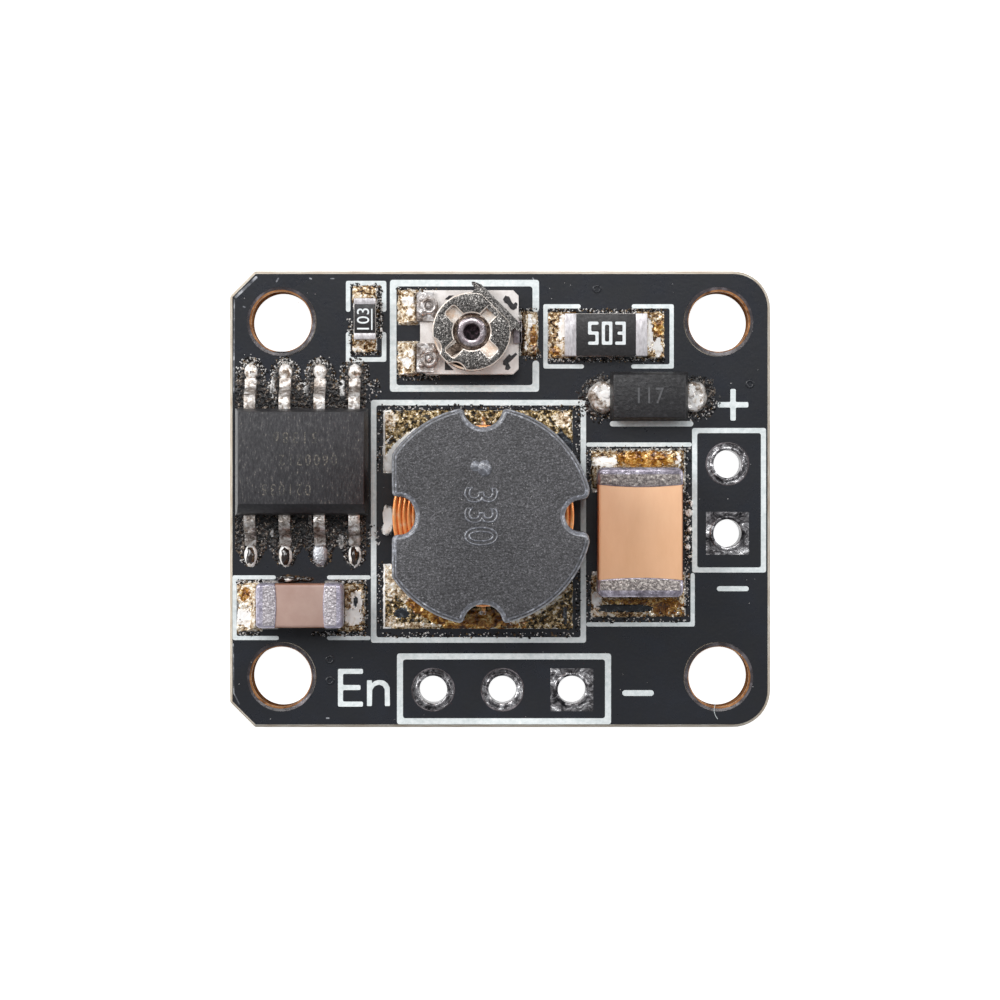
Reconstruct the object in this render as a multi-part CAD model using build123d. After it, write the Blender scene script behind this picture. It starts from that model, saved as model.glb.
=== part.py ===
from build123d import *
from math import atan, degrees, radians, tan
import os

# Adjustable step-up converter on a small circuit board, in millimetres.
# X runs along the board, Y across it and Z up. The origin is on the underside, at the
# middle of the board. Everything is soldered to the top face, and only the trimmer's
# rotor moves: it turns about Z.

# Board
board_length = 19.6
board_width = 16.5
laminate_thickness = 1.5
mask_thickness = 0.05
score_depth = 0.45
score_overhang = 0.125
corner_chamfer = 0.85
corner_radius = 1.25
mount_hole_diameter = 2.2
mount_inset_x = 1.8
mount_inset_y = 1.75
mount_spacing_x = board_length - 2 * mount_inset_x
mount_spacing_y = board_width - 2 * mount_inset_y
mount_mask_margin = 0.175

# Pin holes and their plating
pin_hole_diameter = 1.03
pin_pitch = 2.54
pin_pad_diameter = 1.58
pin_pad_square = 1.57
plating_wall = 0.04
high_voltage_pins_inset = 1.47
high_voltage_pins_x = board_length / 2 - high_voltage_pins_inset
high_voltage_pins_y = 0.02
input_pins_inset = 1.27
input_pins_x = 0.09
input_pins_y = input_pins_inset - board_width / 2

# Printed frames
print_thickness = 0.02
print_line = 0.2
bold_line = 0.24
fine_line = 0.155
print_edge = 0.03

# Controller, an eight lead small outline package
controller_inset = 2.58
controller_x = controller_inset - board_length / 2
controller_y = 1.36
controller_length = 4.85
controller_width = 3.9
controller_height = 1.45
controller_standoff = 0.1
controller_draft = 10
controller_bevel = 0.2
lead_count_per_side = 4
lead_pitch = 1.27
lead_span = 6.12
lead_width = 0.42
lead_thickness = 0.2
lead_foot = 0.42
lead_shoulder = 0.45
lead_bend = 0.12
lead_depth_in_body = 0.4
lead_land_width = 0.58
lead_land_length = 1.9
lead_land_beyond_toe = 0.78
lead_solder_height = 0.16

# Inductor, a drum core with its winding in the open
inductor_x = -0.6
inductor_y = -0.59
inductor_height = 4.9
core_radius = 3.9
flange_reach = 2.18
left_flat_depth = 0.66
right_flat_depth = 0.12
core_left_flat = core_radius - left_flat_depth
core_right_flat = core_radius - right_flat_depth
core_post_radius = core_radius - flange_reach
core_edge = 0.12
top_flange_thickness = 1.0
lower_flange_thickness = 1.1
left_notch_width = 1.33
left_notch_depth = 1.75
right_notch_depth = 1.08
left_notch_floor = core_radius - left_notch_depth
right_notch_floor = core_radius - right_notch_depth
right_notch_width = 1.0
right_notch_round = 0.3
right_mouth_round = 0.25
end_notch_width = 1.4
end_notch_depth = 0.75
end_notch_round = 0.5
dimple_inset = 2.19
dimple_y = core_radius - dimple_inset
dimple_radius = 0.22
dimple_depth = 0.06
wire_diameter = 0.17
wire_layers = 8
wire_end_height = 0.6
winding_clearance = 0.03
inductor_terminal_thickness = 0.1
inductor_terminal_depth = 2.0
inductor_terminal_reach = core_radius - inductor_terminal_depth
inductor_land_shift_x = -0.21
inductor_land_shift_y = -0.155
inductor_land_short = 0.86
inductor_land_length = 2 * core_radius - inductor_land_short
inductor_land_depth = 2.3
inductor_land_margin = 0.1
inductor_land_span = 2 * (core_radius + inductor_land_margin)
inductor_solder_height = 0.45

# Chip parts: the middle's inset from the nearest edges of the board, the size along the
# current, across it and upright, then an end cap's length and the lands' outer span,
# width and length
output_capacitor_inset = 4.72
output_capacitor_x = board_length / 2 - output_capacitor_inset
output_capacitor_y = -1.2
output_capacitor_size = (4.7, 3.11, 1.9)
output_capacitor_cap = 0.66
output_capacitor_lands = (6.11, 3.43, 1.6)
input_capacitor_inset = (2.53, 4.38)
input_capacitor_x = input_capacitor_inset[0] - board_length / 2
input_capacitor_y = input_capacitor_inset[1] - board_width / 2
input_capacitor_size = (3.17, 1.64, 1.5)
input_capacitor_cap = 0.72
input_capacitor_lands = (4.71, 1.78, 1.5)
feedback_resistor_inset = (4.86, 1.66)
feedback_resistor_x = feedback_resistor_inset[0] - board_length / 2
feedback_resistor_y = board_width / 2 - feedback_resistor_inset[1]
feedback_resistor_size = (1.51, 0.79, 0.45)
feedback_resistor_cap = 0.24
feedback_resistor_lands = (2.42, 0.88, 0.85)
series_resistor_inset = (5.93, 2.25)
series_resistor_x = board_length / 2 - series_resistor_inset[0]
series_resistor_y = board_width / 2 - series_resistor_inset[1]
series_resistor_size = (3.02, 1.55, 0.58)
series_resistor_cap = 0.44
series_resistor_lands = (4.27, 1.7, 1.1)
capacitor_cap_wall = 0.04
capacitor_round = 0.09
cap_bow = 0.05
resistor_cap_wall = 0.03
resistor_coat_thickness = 0.045
solder_lip = 0.03
solder_climb = 0.62
solder_hollow_reach = 0.33
solder_hollow_height = 0.36

# Diode
diode_inset = (4.36, 4.5)
diode_x = board_length / 2 - diode_inset[0]
diode_y = board_width / 2 - diode_inset[1]
diode_length = 2.86
diode_width = 1.81
diode_height = 1.0
diode_standoff = 0.03
diode_draft = 14
diode_terminal_span = 3.75
diode_terminal_width = 1.0
diode_terminal_thickness = 0.18
diode_terminal_in_body = 0.8
diode_land_span = 4.58
diode_land_width = 1.28
diode_land_length = 1.25

# Trimmer: base, track, terminals and eyelet
trimmer_x = -1.03
trimmer_inset = 2.17
trimmer_y = board_width / 2 - trimmer_inset
base_left = 1.88
base_right = 1.71
base_width = 3.06
base_thickness = 0.72
base_corner = 0.2
track_inner_radius = 0.95
track_outer_radius = 1.42
track_thickness = 0.02
track_gap_angle = 70
end_terminal_width = 1.05
end_terminal_y = 0.93
end_terminal_over = 0.5
wiper_terminal_width = 0.82
terminal_sheet = 0.12
wiper_terminal_tab = 0.2
eyelet_radius = 0.4
eyelet_hole_radius = 0.29
eyelet_head_radius = 0.55
eyelet_head_thickness = 0.08
end_land_length = 1.5
end_land_width = 1.27
end_land_outer = 2.71
wiper_land_length = 1.3
wiper_land_width = 1.64
wiper_land_outer = 2.42
trimmer_solder_height = 0.6

# Rotor: one sheet folded over at one side, a slotted disc above and a wiper below
rotor_sheet = 0.12
rotor_radius = 1.43
rotor_gap = 0.2
rotor_opening_radius = 0.68
rotor_slot_reach = 1.15
rotor_slot_width = 0.44
rotor_fold_reach = 1.47
rotor_fold_length = 2.0
rotor_fold_shelf = 0.35
rotor_fold_angle = 45
rotor_relief_radius = 0.4
rotor_relief_depth = 0.16
rotor_relief_angle = 23
wiper_arm_width = 1.3
wiper_ring_radius = 0.75
wiper_tongue_width = 0.5
wiper_bar_inner = 1.05
wiper_bar_outer = 1.38
wiper_bar_angle = 68
wiper_foot_length = 0.24
wiper_foot_angle = 24
running_clearance = 0.02

# Printed frames round the parts: the frame's middle from the part's, then its outer size
feedback_frame = (0.04, -0.08, 1.48, 2.96)
series_frame = (0.1, -0.04, 4.78, 2.36)
trimmer_frame = (-0.27, -0.1, 5.46, 4.09)
input_frame = (-0.01, -0.1, 5.03, 2.37)
inductor_frame_margins = (0.08, 1.09)
inductor_frame_size = [2 * core_radius + margin for margin in inductor_frame_margins]
inductor_frame = (-0.19, -0.22, *inductor_frame_size)
output_frame = (-0.04, -0.09, 4.18, 6.73)
high_voltage_frame = (0.06, -0.06, 2.71, 5.3)
input_pin_frame = (0.06, 0.04, 7.84, 2.59)
feedback_gap = 0.73
feedback_gap_shift = -0.1
series_gap_length = 1.78
input_gap_length = 1.87
diode_line_drop = 0.99
diode_line_length = 3.07

# The board's top face, which every part stands on
board_top = laminate_thickness + 2 * mask_thickness


def save(name, solids):
    """Write one sub-part to its own file."""
    export_step(Compound(children=list(solids)), f"parts/{name}.step")


def on_board(x, y):
    """The place of something that stands on the board's top face."""
    return Pos(x, y, board_top)


def as_solids(*shapes):
    """Every solid of the shapes, in one list."""
    return [solid for shape in shapes for solid in shape.solids()]


def place(prefix, location, pieces):
    """Write each named piece or list of pieces at its place on the board."""
    for name, piece in pieces.items():
        shapes = piece if isinstance(piece, list) else [piece]
        save(f"{prefix}_{name}", as_solids(*[location * shape for shape in shapes]))


# Board


def board_outline(margin=0.0):
    """The board seen from above: two cut corners on the left, two round ones on the right."""
    outline = Rectangle(board_length, board_width)
    outline = chamfer(outline.vertices().group_by(Axis.X)[0], corner_chamfer)
    outline = fillet(outline.vertices().group_by(Axis.X)[-1], corner_radius)
    return offset(outline, margin) if margin else outline


def mount_circles(radius):
    """A circle at each of the four mounting holes."""
    places = GridLocations(mount_spacing_x, mount_spacing_y, 2, 2)
    return Sketch() + [place * Circle(radius) for place in places]


def high_voltage_pin_points():
    """The two high voltage pins, the round pad first."""
    return [(high_voltage_pins_x, high_voltage_pins_y + side * pin_pitch / 2) for side in (1, -1)]


def input_pin_points():
    """The three input pins, from left to right, the square pad last."""
    return [(input_pins_x + step * pin_pitch, input_pins_y) for step in (-1, 0, 1)]


def pin_pads():
    """Every pin pad's outline: the last pin of each row has a square one."""
    pads = Sketch()
    for row in (high_voltage_pin_points(), input_pin_points()):
        pads += [Pos(*point) * Circle(pin_pad_diameter / 2) for point in row[:-1]]
        pads += Pos(*row[-1]) * Rectangle(pin_pad_square, pin_pad_square)
    return pads


def pin_circles(radius):
    """A circle at each pin."""
    points = high_voltage_pin_points() + input_pin_points()
    return Sketch() + [Pos(*point) * Circle(radius) for point in points]


def laminate():
    """The laminate: both faces are scored along the edge, and the web between the two
    grooves stands out where the board was snapped from its panel."""
    body = Pos(0, 0, mask_thickness) * extrude(board_outline(score_overhang), laminate_thickness)
    for face in (body.faces().sort_by(Axis.Z)[0], body.faces().sort_by(Axis.Z)[-1]):
        body = chamfer(face.edges(), score_overhang, score_depth, reference=face)
    holes = mount_circles(mount_hole_diameter / 2)
    holes += pin_circles(pin_hole_diameter / 2 + plating_wall)
    return body - extrude(holes, board_top)


def mask(height, openings):
    """One face's solder mask, open at the mounting holes and at the lands given."""
    clear = mount_circles(mount_hole_diameter / 2 + mount_mask_margin)
    sheet = board_outline() - clear - openings
    return Pos(0, 0, height) * extrude(sheet, mask_thickness)


def plating(point, pad):
    """A plated pin hole: a barrel through the board with a pad on each face."""
    barrel = extrude(Circle(pin_hole_diameter / 2 + plating_wall), board_top)
    pads = extrude(pad, mask_thickness)
    body = barrel + pads + Pos(0, 0, board_top - mask_thickness) * pads
    return Pos(*point) * (body - extrude(Circle(pin_hole_diameter / 2), board_top))


def pin_platings(points):
    """The plated holes of one row of pins."""
    round_pad = Circle(pin_pad_diameter / 2)
    square_pad = Rectangle(pin_pad_square, pin_pad_square)
    pads = [round_pad] * (len(points) - 1) + [square_pad]
    return [plating(point, pad) for point, pad in zip(points, pads)]


# Lands


def land_pair(lands):
    """A chip part's two lands along X: outer span, width and length of one."""
    span, width, length = lands
    middle = (span - length) / 2
    land = Rectangle(length, width)
    return Sketch() + [Pos(side * middle, 0) * land for side in (-1, 1)]


def lead_land_points():
    """The middle of each of the controller's lands."""
    away = lead_span / 2 + lead_land_beyond_toe - lead_land_length / 2
    places = GridLocations(lead_pitch, 2 * away, lead_count_per_side, 2)
    return [(controller_x + place.position.X, controller_y + place.position.Y) for place in places]


def lead_land():
    """One of the controller's lands, with its corners cut off."""
    outline = Rectangle(lead_land_width, lead_land_length)
    return chamfer(outline.vertices(), lead_land_width / 3)


def controller_lands():
    """The controller's eight lands."""
    return Sketch() + [Pos(x, y) * lead_land() for x, y in lead_land_points()]


def inductor_lands():
    """Two wide lands under the ends of the inductor."""
    middle = (inductor_land_span - inductor_land_depth) / 2
    land = Rectangle(inductor_land_length, inductor_land_depth)
    pair = Sketch() + [Pos(0, side * middle) * land for side in (-1, 1)]
    return Pos(inductor_x + inductor_land_shift_x, inductor_y + inductor_land_shift_y) * pair


def diode_lands():
    """Two lands with cut corners."""
    middle = (diode_land_span - diode_land_length) / 2
    land = Rectangle(diode_land_length, diode_land_width)
    land = chamfer(land.vertices(), diode_land_width / 4)
    pair = Sketch() + [Pos(side * middle, 0) * land for side in (-1, 1)]
    return Pos(diode_x, diode_y) * pair


def trimmer_lands():
    """Two lands for the track's ends on the left and one for the wiper on the right."""
    end_land = Rectangle(end_land_length, end_land_width)
    end_x = end_land_length / 2 - end_land_outer
    ends = [Pos(end_x, side * end_terminal_y) * end_land for side in (-1, 1)]
    wiper_x = wiper_land_outer - wiper_land_length / 2
    wiper_land = Pos(wiper_x, 0) * Rectangle(wiper_land_length, wiper_land_width)
    return Pos(trimmer_x, trimmer_y) * (Sketch() + ends + wiper_land)


def land_outlines():
    """Every land outside the pin holes."""
    upright = Rot(0, 0, 90)
    chips = [
        Pos(output_capacitor_x, output_capacitor_y) * upright * land_pair(output_capacitor_lands),
        Pos(input_capacitor_x, input_capacitor_y) * land_pair(input_capacitor_lands),
        Pos(feedback_resistor_x, feedback_resistor_y) * upright * land_pair(feedback_resistor_lands),
        Pos(series_resistor_x, series_resistor_y) * land_pair(series_resistor_lands),
    ]
    return Sketch() + chips + [controller_lands(), inductor_lands(), diode_lands(), trimmer_lands()]


# Chip parts


def rounded_box(length, width, height, radius):
    """A box on the board's top face with all its edges rounded."""
    box = Box(length, width, height, align=(Align.CENTER, Align.CENTER, Align.MIN))
    return chamfer(box.edges(), radius)


def capacitor(size, cap_length):
    """A ceramic block and the two metal cups on its ends."""
    length, width, height = size
    wall = capacitor_cap_wall
    whole = rounded_box(length, width, height, capacitor_round)
    block = rounded_box(length - 2 * wall, width - 2 * wall, height - 2 * wall, capacitor_round - wall)
    block = Pos(0, 0, wall) * block
    bow_radius = (width**2 / 4 + cap_bow**2) / (2 * cap_bow)
    inner = length / 2 - cap_length
    bow = Pos(inner + cap_bow - bow_radius, 0) * extrude(Circle(bow_radius), height)
    keep = Pos(inner, 0) * Box(length, width, height, align=(Align.MIN, Align.CENTER, Align.MIN))
    cap = (whole & (keep - bow)) - block
    return block, [cap, mirror(cap, Plane.YZ)]


def resistor(size, cap_length):
    """A ceramic chip, its glass coat, and the metal that wraps each end."""
    length, width, height = size
    wall = resistor_cap_wall
    stand = (Align.CENTER, Align.CENTER, Align.MIN)
    chip = Pos(0, 0, wall) * Box(length - 2 * wall, width, height - 2 * wall, align=stand)
    sleeve = Box(length, width, height, align=stand) - chip
    inner = length / 2 - cap_length
    caps = [
        Pos(side * (inner + cap_length / 2), 0) * Box(cap_length, width, height, align=stand) & sleeve
        for side in (-1, 1)
    ]
    coat_width = width - 2 * resistor_coat_thickness
    coat = Box(2 * inner, coat_width, resistor_coat_thickness, align=stand)
    coat = chamfer(coat.faces().sort_by(Axis.Z)[-1].edges(), resistor_coat_thickness / 2)
    return chip, Pos(0, 0, height - wall) * coat, caps


def solder_wedge(start, reach, height, width):
    """A solder fillet against an upright end at start, hollow towards the land's edge."""
    end = start + reach
    foot = (end, solder_lip)
    top = (start, height)
    hollow = (start + solder_hollow_reach * reach, solder_hollow_height * height)
    face = ThreePointArc(foot, hollow, top)
    outline = face + Polyline(top, (start, 0), (end, 0), foot)
    profile = make_face(Plane.XZ * outline)
    return extrude(profile, width / 2, both=True)


def chip_solder(size, lands):
    """The two fillets of a chip part."""
    length, width, height = size
    reach = (lands[0] - length) / 2
    wedge = solder_wedge(length / 2, reach, solder_climb * height, min(width, lands[1]))
    return [wedge, mirror(wedge, Plane.YZ)]


# Controller


def tapered_body(length, width, height, split, draft, standoff):
    """A moulded body that narrows from its parting line to the top and underside."""
    outline = Rectangle(length, width)
    upper = extrude(outline, height - split, taper=draft)
    lower = extrude(outline, standoff - split, taper=draft)
    return Pos(0, 0, split) * (upper + lower)


def parting_height():
    """The height of the body's parting line, where the leads come out."""
    return controller_standoff + (controller_height - controller_standoff) / 2


def gull_wing():
    """One lead, from inside the body out to its foot, which points along +Y: each bend
    is two short mitres."""
    half = lead_thickness / 2
    start = controller_width / 2 - lead_depth_in_body
    shoulder = controller_width / 2 + lead_shoulder - half
    toe = lead_span / 2
    heel = toe - lead_foot
    drop = parting_height() - half
    cut_y = lead_bend * (heel - shoulder) / drop
    route = Polyline(
        (start, parting_height()),
        (shoulder - lead_bend, parting_height()),
        (shoulder + cut_y, parting_height() - lead_bend),
        (heel - cut_y, half + lead_bend),
        (heel + lead_bend, half),
        (toe, half),
    )
    route = Plane.YZ * route
    across = Plane(origin=route @ 0, x_dir=(1, 0, 0), z_dir=route % 0)
    section = across * Rectangle(lead_width, lead_thickness)
    return sweep(section, route, transition=Transition.RIGHT)


def controller():
    """The moulded body and its eight leads."""
    body = tapered_body(
        controller_length,
        controller_width,
        controller_height,
        parting_height(),
        controller_draft,
        controller_standoff,
    )
    front = body.faces().sort_by(Axis.Z)[-1].edges().sort_by(Axis.Y)[0]
    body = chamfer(front, controller_bevel)
    lead = gull_wing()
    first = -(lead_count_per_side - 1) / 2
    leads = [
        Rot(0, 0, turn) * Pos((first + step) * lead_pitch, 0) * lead
        for turn in (0, 180)
        for step in range(lead_count_per_side)
    ]
    return body - leads, leads


def lead_solder(leads):
    """A low mound of solder round each foot, from the edge of its land."""
    mound = extrude(lead_land(), lead_solder_height)
    return [Pos(x - controller_x, y - controller_y) * mound - leads for x, y in lead_land_points()]


# Inductor


def end_notch():
    """The notch at one end of the flange, with a round floor."""
    floor = core_radius - end_notch_depth
    notch = Pos(0, floor) * Rectangle(end_notch_width, core_radius, align=(Align.CENTER, Align.MIN))
    return fillet(notch.vertices().group_by(Axis.Y)[0], end_notch_round)


def flange_outline():
    """The round flange with its two flats and a notch on each of its four sides: the
    one on the right widens towards its mouth."""
    disc = Circle(core_radius)
    flats = Rectangle(core_left_flat + core_right_flat, 2 * core_radius)
    outline = disc & Pos((core_right_flat - core_left_flat) / 2, 0) * flats
    left = Pos(-left_notch_floor, 0) * Rectangle(
        core_radius, left_notch_width, align=(Align.MAX, Align.CENTER)
    )
    left = fillet(left.vertices().group_by(Axis.X)[-1], end_notch_round)
    right = Pos(right_notch_floor, 0) * Rectangle(
        core_radius, right_notch_width, align=(Align.MIN, Align.CENTER)
    )
    right = fillet(right.vertices().group_by(Axis.X)[0], right_notch_round)
    outline = outline - [left, right, end_notch(), mirror(end_notch(), Plane.XZ)]
    mouth = outline.vertices().group_by(Axis.X)[-1].sort_by(Axis.Y)[1:-1]
    return fillet(mouth, right_mouth_round)


def winding_room():
    """The height between the flanges, above the inductor's own underside."""
    low = inductor_terminal_thickness + lower_flange_thickness
    return low, inductor_height - top_flange_thickness


def inductor_core():
    """The ferrite drum: two flanges on a round post, with a shallow dimple on top."""
    low, high = winding_room()
    blank = extrude(flange_outline(), inductor_height - inductor_terminal_thickness)
    blank = Pos(0, 0, inductor_terminal_thickness) * blank
    rim = blank.faces().sort_by(Axis.Z)[-1].edges().filter_by(GeomType.CIRCLE)
    rim = [edge for edge in rim if edge.radius > core_radius / 2]
    blank = chamfer(rim, core_edge)
    window = Pos(0, 0, low) * extrude(Circle(core_radius + 1) - Circle(core_post_radius), high - low)
    dimple = Pos(0, dimple_y, inductor_height - dimple_depth) * Cylinder(
        dimple_radius, dimple_depth, align=(Align.CENTER, Align.CENTER, Align.MIN)
    )
    return blank - window - dimple


def inductor_winding():
    """The coil round the post, just clear of both flanges."""
    low, high = winding_room()
    low += winding_clearance
    height = high - winding_clearance - low
    reach = core_post_radius + wire_layers * wire_diameter
    return Pos(0, 0, low) * extrude(Circle(reach) - Circle(core_post_radius), height)


def wire_end():
    """The wire's end, out of the winding and down the end notch to the terminal."""
    start = core_post_radius + wire_layers * wire_diameter
    out = core_radius - end_notch_depth / 2
    height = winding_room()[0] + wire_end_height
    route = FilletPolyline(
        (start, height),
        (out, height),
        (out, inductor_terminal_thickness),
        radius=1.5 * wire_diameter,
    )
    route = Plane.YZ * route
    section = Plane(origin=route @ 0, z_dir=route % 0) * RegularPolygon(wire_diameter / 2, 6)
    return sweep(section, route)


def both_ends(shape):
    """The shape and its like at the other end, half a turn about Z away."""
    return [shape, Rot(0, 0, 180) * shape]


def inductor():
    """Core, winding, wire ends, terminals and solder, about the core's own axis."""
    wires = both_ends(wire_end())
    strip = Rectangle(2 * core_radius, core_radius, align=(Align.CENTER, Align.MIN))
    plates = [
        extrude(flange_outline() & Rot(0, 0, turn) * Pos(0, inductor_terminal_reach) * strip,
                inductor_terminal_thickness)
        for turn in (0, 180)
    ]
    middle = (inductor_land_span - inductor_land_depth) / 2
    core = inductor_core()
    solder = []
    for turn, side, wire, plate in zip((0, 180), (1, -1), wires, plates):
        land = Pos(inductor_land_shift_x, inductor_land_shift_y + side * middle)
        land = land * Rectangle(inductor_land_length, inductor_land_depth)
        pool = extrude(land, inductor_terminal_thickness)
        pool += extrude(land & Rot(0, 0, turn) * end_notch(), inductor_solder_height)
        solder.append(pool - plate - wire - core)
    return core, inductor_winding(), wires, plates, solder


# Diode


def diode():
    """The moulded body, its two flat terminals and their solder."""
    plate = Box(
        (diode_terminal_span - diode_length) / 2 + diode_terminal_in_body,
        diode_terminal_width,
        diode_terminal_thickness,
        align=(Align.MAX, Align.CENTER, Align.MIN),
    )
    terminals = both_ends(Pos(diode_terminal_span / 2, 0) * plate)
    body = tapered_body(
        diode_length, diode_width, diode_height, diode_height / 2, diode_draft, diode_standoff
    )
    reach = (diode_land_span - diode_terminal_span) / 2
    solder = both_ends(
        solder_wedge(diode_terminal_span / 2, reach, diode_terminal_thickness, diode_terminal_width)
    )
    return body - terminals, terminals, solder


# Trimmer


def trimmer_base():
    """The ceramic plate, with cut corners and the eyelet's hole."""
    length = base_left + base_right
    outline = Pos((base_right - base_left) / 2, 0) * Rectangle(length, base_width)
    outline = chamfer(outline.vertices(), base_corner) - Circle(eyelet_radius)
    return Pos(0, 0, terminal_sheet) * extrude(outline, base_thickness)


def base_top():
    """The height of the base's top face above the board."""
    return terminal_sheet + base_thickness


def trimmer_track():
    """The printed track, a ring that is open towards the two end terminals."""
    ring = Circle(track_outer_radius) - Circle(track_inner_radius)
    reach = 2 * track_outer_radius
    rise = reach * tan(radians(track_gap_angle / 2))
    gap = make_face(Polyline((0, 0), (-reach, rise), (-reach, -rise), close=True))
    return Pos(0, 0, base_top()) * extrude(ring - gap, track_thickness)


def terminal_clip(edge, over, width):
    """A metal clip round the base's edge at x = edge, reaching over its top face."""
    height = base_top() + terminal_sheet
    block = Pos(edge + terminal_sheet, 0) * Box(
        over + terminal_sheet, width, height, align=(Align.MAX, Align.CENTER, Align.MIN)
    )
    core = Pos(edge, 0, terminal_sheet) * Box(
        over, width, base_thickness, align=(Align.MAX, Align.CENTER, Align.MIN)
    )
    return block - core


def lower_plate_height():
    """The height of the rotor's lower plate, clear of the terminals that it passes over."""
    return base_top() + terminal_sheet + 2 * running_clearance


def wiper_terminal():
    """The middle terminal: a clip on the right, a strip under the base and the eyelet
    that stands up through base and rotor, with a rim that holds the rotor down."""
    clip = terminal_clip(base_right, wiper_terminal_tab, wiper_terminal_width)
    strip = Rectangle(base_right, wiper_terminal_width, align=(Align.MIN, Align.CENTER))
    strip = extrude(strip + Circle(eyelet_head_radius), terminal_sheet)
    rim_low = lower_plate_height() + rotor_sheet + running_clearance
    rim_high = rim_low + eyelet_head_thickness
    tube = extrude(Circle(eyelet_radius), rim_high)
    rim = Pos(0, 0, rim_low) * extrude(Circle(eyelet_head_radius), eyelet_head_thickness)
    hole = extrude(Circle(eyelet_hole_radius), rim_high)
    return clip + strip + tube + rim - hole


def fold_radius():
    """The outer radius of the bend that joins the rotor's two sheets."""
    return rotor_sheet + rotor_gap / 2


def fold_axis():
    """How far the bend's own axis is from the rotor's."""
    return rotor_fold_reach - fold_radius()


def fold_shelf():
    """The straight strip beside the bend, which both sheets have."""
    strip = Rectangle(rotor_fold_shelf, rotor_fold_length, align=(Align.MAX, Align.CENTER))
    return Pos(fold_axis(), 0) * strip


def rotor_disc():
    """The upper sheet's outline: a disc up to the fold, with the cross slot for a
    screwdriver and two shallow reliefs over the ends of the wiper."""
    side = Rectangle(4 * rotor_radius, 4 * rotor_radius, align=(Align.MAX, Align.CENTER))
    disc = (Circle(rotor_radius) & Pos(fold_axis(), 0) * side) + fold_shelf()
    slot = Rectangle(2 * rotor_slot_reach, rotor_slot_width)
    cross = Circle(rotor_opening_radius) + slot + Rot(0, 0, 90) * slot
    reliefs = [
        Rot(0, 0, 180 + turn) * Pos(rotor_radius + rotor_relief_radius - rotor_relief_depth, 0)
        * Circle(rotor_relief_radius)
        for turn in (-rotor_relief_angle, rotor_relief_angle)
    ]
    return disc - cross - reliefs


def wiper_plate():
    """The lower sheet's outline: from the fold to a ring round the eyelet, and on to the
    curved bar that carries the feet."""
    arm = Rectangle(fold_axis(), wiper_arm_width, align=(Align.MIN, Align.CENTER))
    tongue = Rectangle(wiper_bar_outer, wiper_tongue_width, align=(Align.MAX, Align.CENTER))
    reach = 2 * wiper_bar_outer
    rise = reach * tan(radians(wiper_bar_angle / 2))
    sector = make_face(Polyline((0, 0), (-reach, rise), (-reach, -rise), close=True))
    bar = (Circle(wiper_bar_outer) - Circle(wiper_bar_inner)) & sector
    tongue = tongue & Circle(wiper_bar_outer)
    ring = Circle(wiper_ring_radius)
    return fold_shelf() + arm + ring + tongue + bar - Circle(eyelet_radius + running_clearance)


def trimmer_rotor():
    """One sheet of metal: the slotted disc, the fold and the wiper with its two feet."""
    outer = fold_radius()
    low = lower_plate_height()
    lower = Pos(0, 0, low) * extrude(wiper_plate(), rotor_sheet)
    upper = Pos(0, 0, low + rotor_sheet + rotor_gap) * extrude(rotor_disc(), rotor_sheet)
    band = Circle(outer) - Circle(outer - rotor_sheet)
    band = band & Rectangle(outer, 2 * outer, align=(Align.MIN, Align.CENTER))
    fold = extrude(Plane.XZ * band, rotor_fold_length / 2, both=True)
    drop = low - base_top() - track_thickness - running_clearance
    foot = Pos((track_inner_radius + track_outer_radius) / 2, 0, low) * Box(
        wiper_foot_length, rotor_sheet, drop, align=(Align.CENTER, Align.CENTER, Align.MAX)
    )
    feet = [Rot(0, 0, 180 + turn) * foot for turn in (-wiper_foot_angle, wiper_foot_angle)]
    sheet = lower + upper + Pos(fold_axis(), 0, low + outer) * fold + feet
    return Rot(0, 0, rotor_fold_angle) * sheet


def trimmer():
    """Everything that stays still on the trimmer, about the rotor's axis."""
    clip = Rot(0, 0, 180) * terminal_clip(base_left, end_terminal_over, end_terminal_width)
    ends = [Pos(0, side * end_terminal_y) * clip for side in (-1, 1)]
    middle = wiper_terminal()
    height = trimmer_solder_height
    end_reach = end_land_outer - base_left - terminal_sheet
    end_wedge = solder_wedge(base_left + terminal_sheet, end_reach, height, end_terminal_width)
    solder = [Pos(0, side * end_terminal_y) * Rot(0, 0, 180) * end_wedge for side in (-1, 1)]
    reach = wiper_land_outer - base_right - terminal_sheet
    solder.append(solder_wedge(base_right + terminal_sheet, reach, height, wiper_terminal_width))
    base = trimmer_base() - ends - middle
    return base, trimmer_track(), ends, middle, solder


# Printed frames


def frame(x, y, margins, line):
    """A printed rectangle: its middle's offset from the part, then its outer size."""
    shift_x, shift_y, length, width = margins
    outer = Rectangle(length, width)
    inner = Rectangle(length - 2 * line, width - 2 * line)
    return Pos(x + shift_x, y + shift_y) * (outer - inner)


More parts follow.
